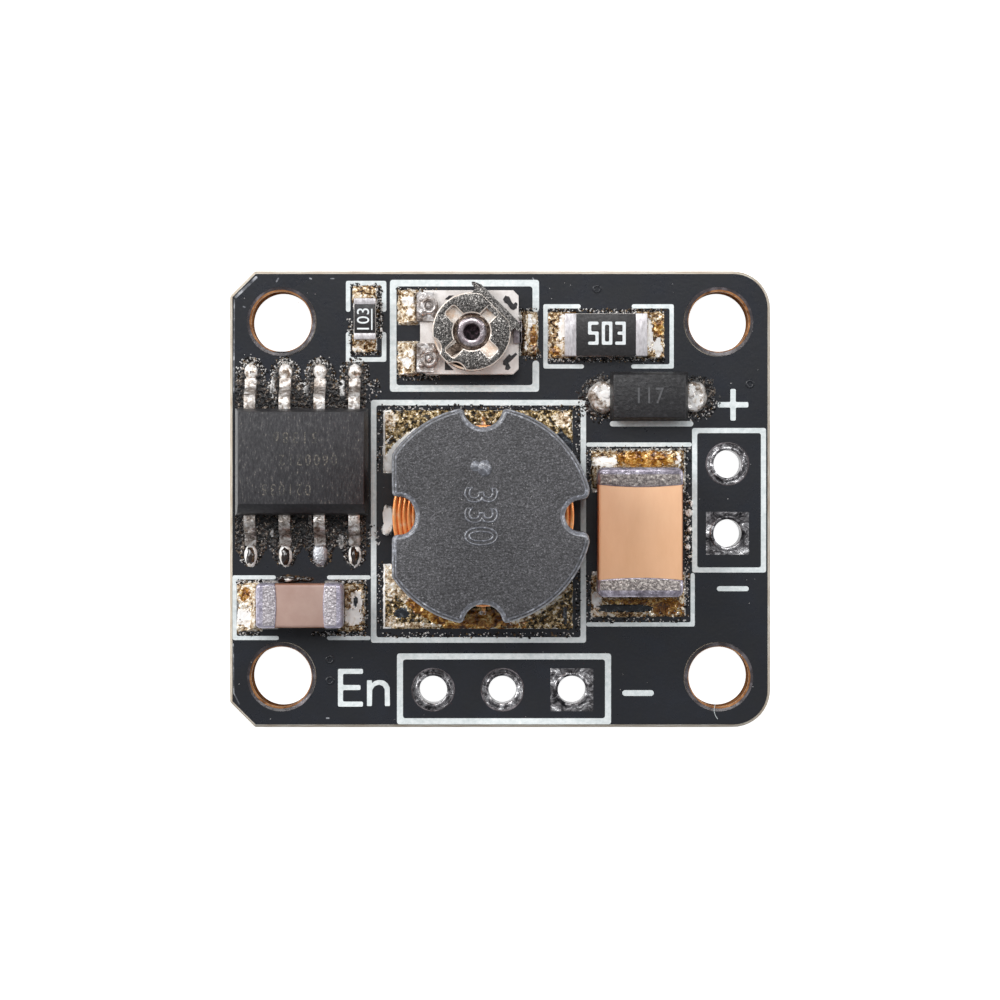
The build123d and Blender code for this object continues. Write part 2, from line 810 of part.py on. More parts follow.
def printed_frames():
    """The white frames round the parts and the two pin rows, clear of every land."""
    resistor_gap = Pos(feedback_resistor_x, feedback_resistor_y + feedback_gap_shift) * Rectangle(
        2 * feedback_frame[2], feedback_gap
    )
    series_gap = Pos(series_resistor_x, series_resistor_y) * Rectangle(
        series_gap_length, 2 * series_frame[3]
    )
    capacitor_gap = Pos(input_capacitor_x, input_capacitor_y) * Rectangle(
        input_gap_length, 2 * input_frame[3]
    )
    upper = frame(feedback_resistor_x, feedback_resistor_y, feedback_frame, fine_line) - resistor_gap
    upper += frame(series_resistor_x, series_resistor_y, series_frame, fine_line) - series_gap
    upper += frame(trimmer_x, trimmer_y, trimmer_frame, bold_line)
    lower = frame(input_capacitor_x, input_capacitor_y, input_frame, fine_line) - capacitor_gap
    lower += frame(inductor_x, inductor_y, inductor_frame, print_line)
    lower += frame(output_capacitor_x, output_capacitor_y, output_frame, fine_line)
    lower += frame(high_voltage_pins_x, high_voltage_pins_y, high_voltage_frame, print_line)
    lower += frame(input_pins_x, input_pins_y, input_pin_frame, bold_line)
    bar = Pos(diode_x, diode_y - diode_line_drop) * Rectangle(diode_line_length, print_line)
    print_outline = (upper + lower + bar) & board_outline(-print_edge)
    return on_board(0, 0) * extrude(print_outline - land_outlines() - pin_pads(), print_thickness)


# Writing every sub-part to its own file

os.makedirs("parts", exist_ok=True)

save("laminate_board", laminate().solids())
save("top_solder_mask", mask(board_top - mask_thickness, land_outlines() + pin_pads()).solids())
save("bottom_solder_mask", mask(0, pin_pads()).solids())
lands = Pos(0, 0, board_top - mask_thickness) * extrude(land_outlines(), mask_thickness)
save("component_lands", lands.solids())
save("high_voltage_pin_platings", as_solids(*pin_platings(high_voltage_pin_points())))
save("input_pin_platings", as_solids(*pin_platings(input_pin_points())))
save("legend_frames", printed_frames().solids())


body, leads = controller()
place(
    "controller",
    on_board(controller_x, controller_y),
    {"body": body, "leads": leads, "solder": lead_solder(leads)},
)

core, winding, wires, plates, solder = inductor()
place(
    "inductor",
    on_board(inductor_x, inductor_y),
    {"core": core, "winding": winding, "wire_ends": wires, "terminals": plates, "solder": solder},
)

upright = Rot(0, 0, 90)
block, caps = capacitor(output_capacitor_size, output_capacitor_cap)
solder = chip_solder(output_capacitor_size, output_capacitor_lands)
place(
    "output_capacitor",
    on_board(output_capacitor_x, output_capacitor_y) * upright,
    {"body": block, "end_caps": caps, "solder": solder},
)

block, caps = capacitor(input_capacitor_size, input_capacitor_cap)
solder = chip_solder(input_capacitor_size, input_capacitor_lands)
place(
    "input_capacitor",
    on_board(input_capacitor_x, input_capacitor_y),
    {"body": block, "end_caps": caps, "solder": solder},
)

chip, coat, caps = resistor(feedback_resistor_size, feedback_resistor_cap)
solder = chip_solder(feedback_resistor_size, feedback_resistor_lands)
place(
    "feedback_resistor",
    on_board(feedback_resistor_x, feedback_resistor_y) * upright,
    {"chip": chip, "coat": coat, "end_caps": caps, "solder": solder},
)

chip, coat, caps = resistor(series_resistor_size, series_resistor_cap)
solder = chip_solder(series_resistor_size, series_resistor_lands)
place(
    "series_resistor",
    on_board(series_resistor_x, series_resistor_y),
    {"chip": chip, "coat": coat, "end_caps": caps, "solder": solder},
)

body, terminals, solder = diode()
place(
    "diode",
    on_board(diode_x, diode_y),
    {"body": body, "terminals": terminals, "solder": solder},
)

base, track, ends, middle, solder = trimmer()
place(
    "trimmer",
    on_board(trimmer_x, trimmer_y),
    {
        "base": base,
        "track": track,
        "end_terminals": ends,
        "wiper_terminal": middle,
        "solder": solder,
        "rotor": trimmer_rotor(),
    },
)
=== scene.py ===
import random
from math import atan2, cos, degrees, exp, pi, radians, sin

import bmesh
import bpy
from mathutils import Matrix, Vector, noise


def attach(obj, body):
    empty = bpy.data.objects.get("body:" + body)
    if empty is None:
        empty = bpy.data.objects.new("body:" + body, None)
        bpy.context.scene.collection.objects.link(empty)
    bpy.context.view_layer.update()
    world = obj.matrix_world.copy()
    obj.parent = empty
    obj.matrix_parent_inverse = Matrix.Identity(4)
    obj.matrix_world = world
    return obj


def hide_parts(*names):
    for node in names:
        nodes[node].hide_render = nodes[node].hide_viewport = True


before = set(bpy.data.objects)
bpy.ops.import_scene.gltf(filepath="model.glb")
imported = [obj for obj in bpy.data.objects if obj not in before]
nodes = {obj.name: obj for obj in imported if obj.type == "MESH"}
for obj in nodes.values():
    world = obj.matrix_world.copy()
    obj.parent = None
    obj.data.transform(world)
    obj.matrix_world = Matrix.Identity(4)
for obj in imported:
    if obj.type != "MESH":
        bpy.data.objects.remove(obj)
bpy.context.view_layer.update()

# Camera: straight above the board, far enough back that the tall coil leans only a
# little, with its axis a hair below the board's middle.
BOARD_TOP = 1.6
MM = 0.001
camera_data = bpy.data.cameras.new("camera")
camera_data.sensor_width = 36.0
camera_data.lens = 144.5
camera_data.clip_start = 0.01
camera = bpy.data.objects.new("camera", camera_data)
camera.location = (0.0, -0.00003, 0.1486)
bpy.context.scene.collection.objects.link(camera)
bpy.context.scene.camera = camera

# Light: one wide soft lamp on the left, a weaker one on the right and another high up
# behind, in a pale room, so that bright metal has both light and dark to mirror.
LAMPS = (
    ("left_lamp", (-0.3, 0.16, 0.24), 0.22, 1.35),
    ("right_lamp", (0.3, 0.12, 0.2), 0.16, 0.5),
    ("top_lamp", (0.0, 0.2, 0.4), 0.2, 0.62),
)
for lamp_name, spot, width, power in LAMPS:
    lamp_data = bpy.data.lights.new(lamp_name, "AREA")
    lamp_data.size = width
    lamp_data.energy = power
    lamp = bpy.data.objects.new(lamp_name, lamp_data)
    lamp.location = spot
    lamp.rotation_euler = Vector(spot).to_track_quat("Z", "Y").to_euler()
    bpy.context.scene.collection.objects.link(lamp)

world = bpy.data.worlds.new("room")
world.use_nodes = True
world.node_tree.nodes["Background"].inputs["Color"].default_value = (0.92, 0.95, 1.0, 1.0)
world.node_tree.nodes["Background"].inputs["Strength"].default_value = 0.3
bpy.context.scene.world = world
bpy.context.scene.view_settings.view_transform = "Standard"

# Floor: a plain white sheet under the board. It is white to the camera and in mirrors,
# and still takes a trace of the board's shadow.
FLOOR_SIZE = 3.0
FLOOR_LEVEL = -0.00002


def feed(tree, node, *values, **named):
    """Set a shader node's inputs, in order or by name, to values or to other outputs."""
    for key, value in [*enumerate(values), *named.items()]:
        socket = node.inputs[key if isinstance(key, int) else key.replace("_", " ")]
        if isinstance(value, bpy.types.NodeSocket):
            tree.links.new(value, socket)
        else:
            socket.default_value = value
    return node


def add_node(tree, kind, *values, **named):
    """Add a shader node and feed it."""
    return feed(tree, tree.nodes.new("ShaderNode" + kind), *values, **named)


floor_shape = bmesh.new()
bmesh.ops.create_grid(floor_shape, x_segments=1, y_segments=1, size=FLOOR_SIZE / 2)
bmesh.ops.translate(floor_shape, vec=(0, 0, FLOOR_LEVEL), verts=floor_shape.verts)
floor_mesh = bpy.data.meshes.new("floor")
floor_shape.to_mesh(floor_mesh)
floor_shape.free()
floor = bpy.data.objects.new("floor", floor_mesh)
bpy.context.scene.collection.objects.link(floor)
floor_finish = bpy.data.materials.new("white_floor")
floor_finish.use_nodes = True
floor_tree = floor_finish.node_tree
floor_tree.nodes.clear()
rays = add_node(floor_tree, "LightPath").outputs
seen = rays["Is Camera Ray"]
for mirrored in (rays["Is Glossy Ray"], rays["Is Transmission Ray"]):
    either = add_node(floor_tree, "Math", seen, mirrored)
    either.operation = "MAXIMUM"
    seen = either.outputs[0]
glow = add_node(floor_tree, "Emission", (0.97, 0.97, 0.97, 1.0), seen)
matte = add_node(floor_tree, "BsdfDiffuse", (0.6, 0.6, 0.6, 1.0))
both = add_node(floor_tree, "AddShader", glow.outputs[0], matte.outputs[0])
add_node(floor_tree, "OutputMaterial", both.outputs[0])
floor.data.materials.append(floor_finish)


# Laminate: glass and resin sheet, routed and drilled. The panel was scored on both
# faces and snapped, so pale resin and torn fibres show along the edge.
def colour(red, green, blue):
    """A colour as it is read off a screen, 0 to 255, for a shader."""
    parts = [level / 255 for level in (red, green, blue)]
    return (*[p / 12.92 if p <= 0.04045 else ((p + 0.055) / 1.055) ** 2.4 for p in parts], 1.0)


BROAD_SCALE = 420
RELIEF_DEPTH = 0.00004


def surface(name, stops, scale, roughness, metal=0.0, relief=0.0, relief_scale=9000,
            stretch=(1, 1, 1), cells=False, coat=0.0, specular=0.5, detail=6.0, warp=0.0,
            mottle=0.1, fray=0.62):
    """A finish whose colour runs through stops, each a level and a colour, by a noise or by
    cells. Its broad tone and its sheen are mottled, and it can have relief."""
    finish = bpy.data.materials.new(name)
    finish.use_nodes = True
    tree = finish.node_tree
    place = add_node(tree, "TexCoord").outputs["Object"]
    spot = add_node(tree, "Mapping", Vector=place, Scale=stretch).outputs["Vector"]
    if cells:
        level = add_node(tree, "TexVoronoi", Vector=spot, Scale=scale).outputs["Color"]
    else:
        level = add_node(tree, "TexNoise", Vector=spot, Scale=scale, Detail=detail,
                         Roughness=fray, Distortion=warp).outputs["Fac"]
    ramp = add_node(tree, "ValToRGB", Fac=level)
    while len(ramp.color_ramp.elements) < len(stops):
        ramp.color_ramp.elements.new(0.5)
    for element, (stop, *shade) in zip(ramp.color_ramp.elements, stops):
        element.position = stop
        element.color = colour(*shade)
    broad = add_node(tree, "TexNoise", Vector=place, Scale=BROAD_SCALE, Detail=5.0).outputs["Fac"]
    tone = add_node(tree, "MapRange", Value=broad, From_Min=0.3, From_Max=0.7,
                    To_Min=1 - mottle, To_Max=1 + mottle).outputs["Result"]
    tint = add_node(tree, "HueSaturation", Value=tone, Color=ramp.outputs["Color"])
    sheen = add_node(tree, "MapRange", Value=level, From_Min=0.25, From_Max=0.75,
                     To_Min=min(1.0, roughness * 1.3), To_Max=roughness * 0.7)
    shader = feed(tree, tree.nodes["Principled BSDF"], Metallic=metal, Coat_Weight=coat,
                  Coat_Roughness=0.12, Specular_IOR_Level=specular,
                  Base_Color=tint.outputs["Color"], Roughness=sheen.outputs["Result"])
    if relief:
        ripple = add_node(tree, "TexNoise", Vector=spot, Scale=relief_scale, Detail=4.0,
                          Distortion=warp).outputs["Fac"]
        bump = add_node(tree, "Bump", Strength=relief, Distance=RELIEF_DEPTH, Height=ripple)
        feed(tree, shader, Normal=bump.outputs["Normal"])
    return finish


def dress(node_name, finish):
    """Give a CAD node a finish in place of its plain one."""
    for slot in nodes[node_name].material_slots:
        slot.material = finish


dress("laminate_board", surface(
    "snapped_laminate",
    ((0.3, 172, 150, 126), (0.5, 202, 190, 172), (0.7, 222, 217, 206)),
    1600, 0.7, relief=0.8, stretch=(1, 1, 5), mottle=0.06,
))

# Solder mask: a glossy blue-black coat on both faces, open at every land and ring. It
# dips and rises a little over the copper below it, and has a few fine scratches.
mask_finish = surface(
    "solder_mask", ((0.35, 21, 23, 28), (0.52, 28, 30, 36), (0.7, 35, 38, 45)), 900, 0.3, relief=0.1,
    mottle=0.16,
)
dress("top_solder_mask", mask_finish)
dress("bottom_solder_mask", mask_finish)

# Mounting holes: drilled through the coated laminate. Cut resin shows brown on the wall,
# and a dark rim of thin mask slopes down to it.
HOLE_SPOTS = [(x, y) for x in (-8.0, 8.0) for y in (-6.5, 6.5)]
RIM_SHIFT = 1.003
WALL_PROFILE = ((1.094, 0.03), (1.094, 1.545), (1.12, 1.56), (1.18, 1.565), (1.18, 1.5),
                (1.12, 1.5), (1.12, 0.03))
RIM_PROFILE = ((1.15, 1.566), (1.2, 1.575), (1.272, 1.597), (1.274, 1.56), (1.15, 1.55))


def add_piece(name, shape, finishes, slot, *stood_for, body="board", sharp=40):
    """Make a shape, worked out in millimetres, into a piece that rides on a body, takes
    the finishes given and stands for CAD nodes. The slot is not used."""
    bmesh.ops.triangulate(shape, faces=[face for face in shape.faces if len(face.verts) > 4])
    bmesh.ops.recalc_face_normals(shape, faces=shape.faces)
    bmesh.ops.scale(shape, vec=(MM, MM, MM), verts=shape.verts)
    mesh = bpy.data.meshes.new(name)
    shape.to_mesh(mesh)
    shape.free()
    for finish in finishes:
        mesh.materials.append(finish)
    mesh.shade_smooth()
    mesh.set_sharp_from_angle(angle=radians(sharp))
    made = bpy.data.objects.new(name, mesh)
    bpy.context.scene.collection.objects.link(made)
    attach(made, body)
    if stood_for:
        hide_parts(*stood_for)


def turn(shape, profile, centre=(0.0, 0.0), steps=48):
    """Add a closed profile of radius and height, turned about an upright axis."""
    corners = [shape.verts.new((centre[0] + r, centre[1], z)) for r, z in profile]
    runs = [shape.edges.new(pair) for pair in zip(corners, corners[1:] + corners[:1])]
    bmesh.ops.spin(
        shape, geom=corners + runs, cent=(*centre, 0.0), axis=(0, 0, 1), angle=2 * pi,
        steps=steps, use_merge=True,
    )


resin_finish = surface(
    "drilled_resin", ((0.3, 84, 54, 34), (0.5, 146, 100, 64), (0.68, 186, 136, 92)), 2600, 0.8,
    relief=0.8, mottle=0.25, specular=0.0,
)
rim_finish = surface(
    "thin_rim", ((0.3, 38, 34, 36), (0.5, 72, 66, 68), (0.7, 128, 122, 126)), 1500, 0.25, relief=0.6,
    relief_scale=5000, mottle=0.4,
)
walls, rims = bmesh.new(), bmesh.new()
for x, y in HOLE_SPOTS:
    turn(walls, WALL_PROFILE, (x, y), 72)
    turn(rims, RIM_PROFILE, (x * RIM_SHIFT, y * RIM_SHIFT), 72)
add_piece("mounting_hole_walls", walls, (resin_finish,), "laminate")
add_piece("mounting_hole_rims", rims, (rim_finish,), "solder_mask")


# Small vias: copper-lined holes filled over with mask, each a low ring round a pit.
# They let current pass between the two faces of the board.
def turn_round(shape, radius, level, wide, tall, corners, centre=(0.0, 0.0), steps=48):
    """Add a ring of oval section about an upright axis."""
    bearings = [corner * 2 * pi / corners for corner in range(corners)]
    turn(shape, [(radius + wide * cos(a), level + tall * sin(a)) for a in bearings], centre, steps)


shape = bmesh.new()
for spot in ((-6.227, -5.872), (-6.227, -6.641), (3.553, 7.7), (9.158, 4.22)):
    turn_round(shape, 0.12, BOARD_TOP, 0.05, 0.03, 10, spot, 28)
add_piece("filled_vias", shape, (mask_finish,), "solder_mask")

# Plated pin holes: copper barrels with a ring or a square on each face, all covered
# with bright solder, smeared flat and scratched, with a bead round each bore.
ring_finish = surface(
    "tinned_ring",
    ((0.36, 30, 30, 33), (0.46, 84, 82, 84), (0.54, 142, 140, 142), (0.64, 226, 225, 226)), 2400, 0.3,
    metal=0.8, relief=0.7, relief_scale=5200, warp=1.2, mottle=0.3, detail=8.0,
)
dress("high_voltage_pin_platings", ring_finish)
dress("input_pin_platings", ring_finish)
ROUND_PINS = ((8.33, 1.29), (-2.45, -6.98), (0.09, -6.98))
SQUARE_PINS = ((8.33, -1.25), (2.63, -6.98))
shape = bmesh.new()
for spot in ROUND_PINS + SQUARE_PINS:
    turn_round(shape, 0.585, BOARD_TOP + 0.012, 0.07, 0.03, 12, spot)
add_piece("pin_bore_beads", shape, (ring_finish,), "tinned_copper")
shape = bmesh.new()
for spot in ROUND_PINS:
    turn_round(shape, 0.775, BOARD_TOP, 0.025, 0.014, 8, spot)
add_piece("pin_pad_edges", shape, (rim_finish,), "solder_mask")

# Printed frames and signs: white ink, laid on in lines with round ends, as thick as a
# coat of paint. Each part has its frame, and the pin rows have their signs.
INK = 0.02
ARM = 0.099
LEGEND_LINES = (
    (0.165, (-5.56, 6.94), (-5.56, 7.912), (-4.245, 7.912), (-4.245, 6.94)),
    (0.165, (-5.56, 6.04), (-5.56, 5.114), (-4.245, 5.114), (-4.245, 6.04)),
    (0.24, (1.311, 6.97), (1.311, 7.912), (-3.912, 7.912), (-3.912, 4.055), (1.311, 4.055),
     (1.311, 4.96)),
    (0.155, (3.0, 4.861), (1.663, 4.861), (1.663, 7.062), (2.88, 7.062)),
    (0.155, (4.88, 4.861), (6.286, 4.861), (6.286, 7.062), (4.9, 7.062)),
    (0.2, (4.12, 2.762), (6.98, 2.762)),
    (0.155, (3.23, 2.0), (6.95, 2.0)),
    (0.155, (7.055, -2.78), (7.055, -4.586), (3.23, -4.586)),
    (0.15, (-8.28, -2.864), (-9.718, -2.864), (-9.718, -5.084), (-8.17, -5.084)),
    (0.15, (-6.26, -2.864), (-4.81, -2.864)),
    (0.15, (-6.26, -5.084), (-4.81, -5.084)),
    (0.183, (8.03, -3.278), (9.02, -3.278)),
    (0.21, (4.58, -7.099), (5.53, -7.099)),
)
CLOSED_FRAMES = (
    (0.2, (-4.626, -5.158), (3.051, 3.535)),
    (0.187, (7.128, -2.593), (9.648, 2.513)),
    (0.22, (-3.663, -8.132), (3.956, -5.758)),
)
PLUS = (
    (0.56, -ARM), (0.56, ARM), (ARM, ARM), (ARM, 0.58), (-ARM, 0.58), (-ARM, ARM), (-0.56, ARM),
    (-0.56, -ARM), (-ARM, -ARM), (-ARM, -0.58), (ARM, -0.58), (ARM, -ARM),
)
LARGE_E = (
    (-5.934, -6.212), (-5.018, -6.212), (-5.018, -6.397), (-5.749, -6.397), (-5.749, -6.805),
    (-5.108, -6.805), (-5.108, -6.99), (-5.749, -6.99), (-5.749, -7.412), (-5.018, -7.412),
    (-5.018, -7.597), (-5.934, -7.597),
)
SMALL_N = (
    (-4.872, -6.63), (-4.69, -6.63), (-4.69, -6.74), (-4.6, -6.66), (-4.44, -6.62), (-4.26, -6.64),
    (-4.12, -6.74), (-4.04, -6.9), (-4.03, -7.575), (-4.215, -7.575), (-4.22, -6.96), (-4.29, -6.84),
    (-4.43, -6.79), (-4.58, -6.84), (-4.68, -6.98), (-4.69, -7.575), (-4.872, -7.575),
)


def print_shape(shape, corners, eased=0.05, level=BOARD_TOP):
    """Add one flat printed shape, its corners eased."""
    ring = [shape.verts.new((x, y, level)) for x, y in corners]
    shape.faces.new(ring)
    if eased:
        bmesh.ops.bevel(shape, geom=ring, offset=eased, segments=3, profile=0.5,
                        affect="VERTICES", material=-1)


def print_line(shape, points, width, butted=False, level=BOARD_TOP):
    """Add one flat printed run: its bends are mitred and eased, and its ends are round
    unless they butt on another run."""
    spots = [Vector(point) for point in points]
    runs = [(end - start).normalized() for start, end in zip(spots, spots[1:])]
    left, right, bends = [], [], []
    for spot, into, out in zip(spots, runs[:1] + runs, runs + runs[-1:]):
        across = Vector((-into.y - out.y, into.x + out.x)) / (1 + into.dot(out)) * width / 2
        left.append(spot + across)
        right.append(spot - across)
        if into.dot(out) < 0.7:
            bends += [left[-1], right[-1]]
    caps = [[], []]
    if not butted:
        caps = [[middle + Matrix.Rotation(-step * pi / 6, 2) @ (start - middle) for step in range(1, 6)]
                for middle, start in ((spots[-1], left[-1]), (spots[0], right[0]))]
    made = {id(spot): shape.verts.new((*spot, level)) for spot in left + caps[0] + right[::-1] + caps[1]}
    shape.faces.new(list(made.values()))
    if bends:
        bmesh.ops.bevel(shape, geom=[made[id(spot)] for spot in bends], offset=width * 0.42,
                        segments=3, profile=0.5, affect="VERTICES", material=-1)


def pull(shape, faces, reach):
    """Pull flat faces along a vector into a solid."""
    pulled = bmesh.ops.extrude_face_region(shape, geom=faces)["geom"]
    bmesh.ops.translate(shape, vec=reach, verts=[g for g in pulled if isinstance(g, bmesh.types.BMVert)])


shape = bmesh.new()
for width, *points in LEGEND_LINES:
    print_line(shape, points, width)
for width, low, high in CLOSED_FRAMES:
    half_x = (low[0] + high[0]) / 2
    for corner, other in ((low, high), (high, low)):
        print_line(shape, ((half_x, corner[1]), corner, (corner[0], other[1]), (half_x, other[1])),
                   width, True)
bmesh.ops.remove_doubles(shape, verts=shape.verts, dist=1e-5)
print_shape(shape, [(8.535 + x, 3.458 + y) for x, y in PLUS])
print_shape(shape, LARGE_E)
print_shape(shape, SMALL_N, 0.03)
pull(shape, list(shape.faces), (0, 0, INK))
legend_ink = surface(
    "board_ink", ((0.3, 206, 214, 214), (0.55, 226, 232, 232), (0.75, 240, 244, 244)), 5000, 0.55,
    relief=0.5,
)
add_piece("printed_legend", shape, (legend_ink,), "white_print", "legend_frames")

# Scuffs and a fibre: grey lines run along the board's left edge and corner, the long one
# down the left edge a painted highlight on the coat's edge bead. The coat has a few pale
# nicks, and one hair of glass lies by the lower right hole.
NICK_AND_GLINT_LINES = (
    (0.04, (-9.73, 7.3), (-9.75, 3.9)), (0.04, (-9.77, -5.3), (-9.75, -7.1), (-9.55, -7.5)),
    (0.09, (-9.68, 7.4), (-8.93, 8.12)), (0.06, (-8.18, 7.98), (-8.12, 8.08)),
    (0.05, (-6.97, 8.09), (-6.91, 8.07)), (0.04, (-6.2, 8.08), (-6.08, 8.08)),
    (0.05, (-9.4, 7.05), (-9.34, 7.03)), (0.05, (-6.35, -8.02), (-6.27, -8.02)),
    (0.05, (1.2, 8.1), (1.24, 8.02)), (0.04, (-4.6, 2.9), (-4.63, 2.99)),
)
FIBRE = ((7.88, -7.52), (7.845, -7.64), (7.84, -7.77), (7.88, -7.91), (7.97, -8.05))
shape = bmesh.new()
for width, *points in NICK_AND_GLINT_LINES:
    print_line(shape, points, width)
pull(shape, list(shape.faces), (0, 0, 0.004))
nick_and_glint_finish = surface(
    "coat_nicks_and_painted_highlight", ((0.36, 52, 54, 60), (0.5, 104, 106, 112), (0.66, 186, 188, 192)), 3200, 0.5,
    relief=0.4, relief_scale=6000, mottle=0.3,
)
add_piece("coat_nick_and_highlight_lines", shape, (nick_and_glint_finish,), "solder_mask")
shape = bmesh.new()
print_line(shape, FIBRE, 0.015)
pull(shape, list(shape.faces), (0, 0, 0.02))
add_piece("stray_fibre", shape, (legend_ink,), "laminate")


# Land solder: a thin uneven skin of solder lies on the bare lands, thick against each
# part's end and lapped out to nothing at the land's edge.
def rough(x, y, seed, grain, octaves=3):
    """An even noise about nought that repeats nowhere on the board."""
    return noise.fractal(Vector((x / grain, y / grain, seed)), 0.8, 2.1, octaves)


def sheet_of(shape, low, high, margin, height_at, cell, kind_at=None):
    """Add a skin over a rectangle of the board and a margin round it. Its height above the
    board's top face comes from the place: below nought it is lost in the board. The number
    of the finish at each face can come from the place too."""
    length, width = high[0] - low[0] + 2 * margin, high[1] - low[1] + 2 * margin
    across, along = max(2, round(length / cell)), max(2, round(width / cell))
    made = bmesh.ops.create_grid(shape, x_segments=across, y_segments=along, size=0.5)["verts"]
    middle = ((low[0] + high[0]) / 2, (low[1] + high[1]) / 2)
    for vert in made:
        x = middle[0] + vert.co.x * length
        y = middle[1] + vert.co.y * width
        vert.co = (x, y, BOARD_TOP + max(-0.03, height_at(x, y)))
    if kind_at:
        for face in {face for vert in made for face in vert.link_faces}:
            spot = face.calc_center_median()
            face.material_index = kind_at(spot.x, spot.y)


def patch_kind(x, y, patches):
    """The finish number at a spot: that of the first ragged patch it lies in, or nought.
    A patch is its kind, its middle and its half length and half width."""
    for kind, patch_x, patch_y, half_x, half_y in patches:
        across, along = abs(x - patch_x) / half_x, abs(y - patch_y) / half_y
        power = 5 if kind == DARK and half_x > 0.5 else 2
        if across ** power + along ** power < 1 + 0.9 * rough(x, y, 95 + kind, 0.14):
            return kind
    return 0


def inside(x, y, low, high):
    """How far a spot is inside a rectangle, and less than nought outside it."""
    return min(x - low[0], high[0] - x, y - low[1], high[1] - y)


solder_finish = surface(
    "bright_solder",
    ((0.3, 84, 80, 76), (0.45, 170, 165, 158), (0.58, 222, 218, 212), (0.7, 250, 248, 244)), 2600, 0.26,
    metal=0.9, relief=0.5, relief_scale=5200, warp=1.0, mottle=0.2,
)
# In this flux finish and the next, the whitest stop paints glints off the flux grains.
flux_and_glint_finish = surface(
    "flux_with_painted_glints",
    ((0.36, 16, 12, 10), (0.44, 76, 52, 30), (0.5, 150, 112, 66), (0.55, 214, 188, 142),
     (0.61, 252, 247, 236)),
    7000, 0.22, metal=0.3, relief=1.0, relief_scale=7500, warp=0.3, mottle=0.3, detail=5.0, fray=0.7,
)
foil_and_glint_finish = surface(
    "foil_with_painted_glints",
    ((0.4, 14, 13, 12), (0.465, 60, 48, 28), (0.515, 128, 102, 58), (0.57, 200, 174, 122),
     (0.62, 254, 248, 236)),
    6800, 0.22, metal=0.25, relief=1.0, relief_scale=7000, warp=0.3, mottle=0.3, detail=5.0, fray=0.72,
)
# Painted glare: a near-white finish that is not metal, standing in for bare solder shining white.
solder_painted_glare = surface(
    "solder_painted_glare", ((0.3, 176, 162, 148), (0.4, 240, 232, 222), (0.5, 255, 253, 250)), 3600, 0.2,
    metal=0.0, relief=0.35, relief_scale=4200, warp=0.4, mottle=0.05,
)
amber_finish = surface(
    "amber_pool", ((0.36, 62, 32, 8), (0.46, 134, 82, 24), (0.55, 190, 136, 50), (0.64, 248, 222, 156)),
    4600, 0.14, metal=0.25, relief=0.9, relief_scale=6500, coat=0.5, warp=0.6, mottle=0.25,
)
dark_finish = surface(
    "clean_window", ((0.4, 20, 23, 28), (0.56, 36, 40, 46), (0.66, 96, 102, 108)), 5200, 0.2,
    relief=0.3, relief_scale=5000, coat=0.4,
)
cream_finish = surface(
    "cream_flux",
    ((0.36, 58, 38, 26), (0.43, 156, 124, 88), (0.49, 214, 192, 158), (0.55, 244, 232, 212),
     (0.61, 255, 252, 248)),
    7000, 0.22, metal=0.1, relief=1.0, relief_scale=7000, warp=0.3, mottle=0.2, detail=5.0, fray=0.7,
)
crust_finish = surface(
    "dark_flux",
    ((0.42, 11, 11, 13), (0.52, 26, 24, 25), (0.58, 70, 54, 42), (0.64, 150, 138, 124), (0.7, 236, 228, 218)),
    7500, 0.2, metal=0.1, relief=1.0, warp=0.6, mottle=0.3, detail=5.0, fray=0.72,
)
stained_solder = surface(
    "stained_solder",
    ((0.33, 58, 42, 32), (0.41, 146, 126, 108), (0.48, 216, 206, 196), (0.55, 255, 252, 249)), 3400,
    0.2, metal=0.3, relief=0.9, relief_scale=4200, warp=0.6, mottle=0.25, fray=0.7,
)
PALE, AMBER, DARK, CREAM = 1, 2, 3, 4
FLUX_KINDS = (flux_and_glint_finish, solder_painted_glare, amber_finish, dark_finish, cream_finish)
dress("component_lands", solder_finish)


def bead(shape, middle, size, seed, wobble=0.06, crown=1.0):
    """Add a drop that sits on the board: size is its half length, half width and
    height, and its crown can be flattened."""
    made = bmesh.ops.create_icosphere(shape, subdivisions=4, radius=1.0)["verts"]
    for vert in made:
        swell = 1 + wobble * noise.fractal(vert.co * 1.3 + Vector((seed, 0, 0)), 1.0, 2.0, 3)
        x, y, z = vert.co * swell
        vert.co = (middle[0] + x * size[0], middle[1] + y * size[1],
                   BOARD_TOP - 0.02 + min(crown, max(0.0, z)) * size[2])


# Inductor lands: two wide lands whose corners show round the coil, under gold and brown
# flux that was boiled into the solder's grains.
INDUCTOR = (-0.6, -0.59)
INDUCTOR_LANDS = (((-4.28, 0.96), (2.66, 3.26)), ((-4.28, -4.75), (2.66, -2.37)))
FLANGE_LOOKS = (-0.62, -0.61)
LAND_PATCHES = (
    (DARK, -3.59, -4.17, 0.28, 0.2), (DARK, 2.38, -4.25, 0.08, 0.3), (PALE, -0.62, -4.18, 0.16, 0.07),
    (AMBER, -0.6, -4.4, 1.6, 0.42), (AMBER, 1.1, 2.75, 0.36, 0.1), (CREAM, -4.02, 2.92, 0.26, 0.3),
    (CREAM, -3.1, -4.62, 0.9, 0.1), (CREAM, 2.3, 2.9, 0.3, 0.3), (CREAM, -4.0, -3.2, 0.2, 0.5),
    (CREAM, -4.0, -4.5, 0.22, 0.2),
)


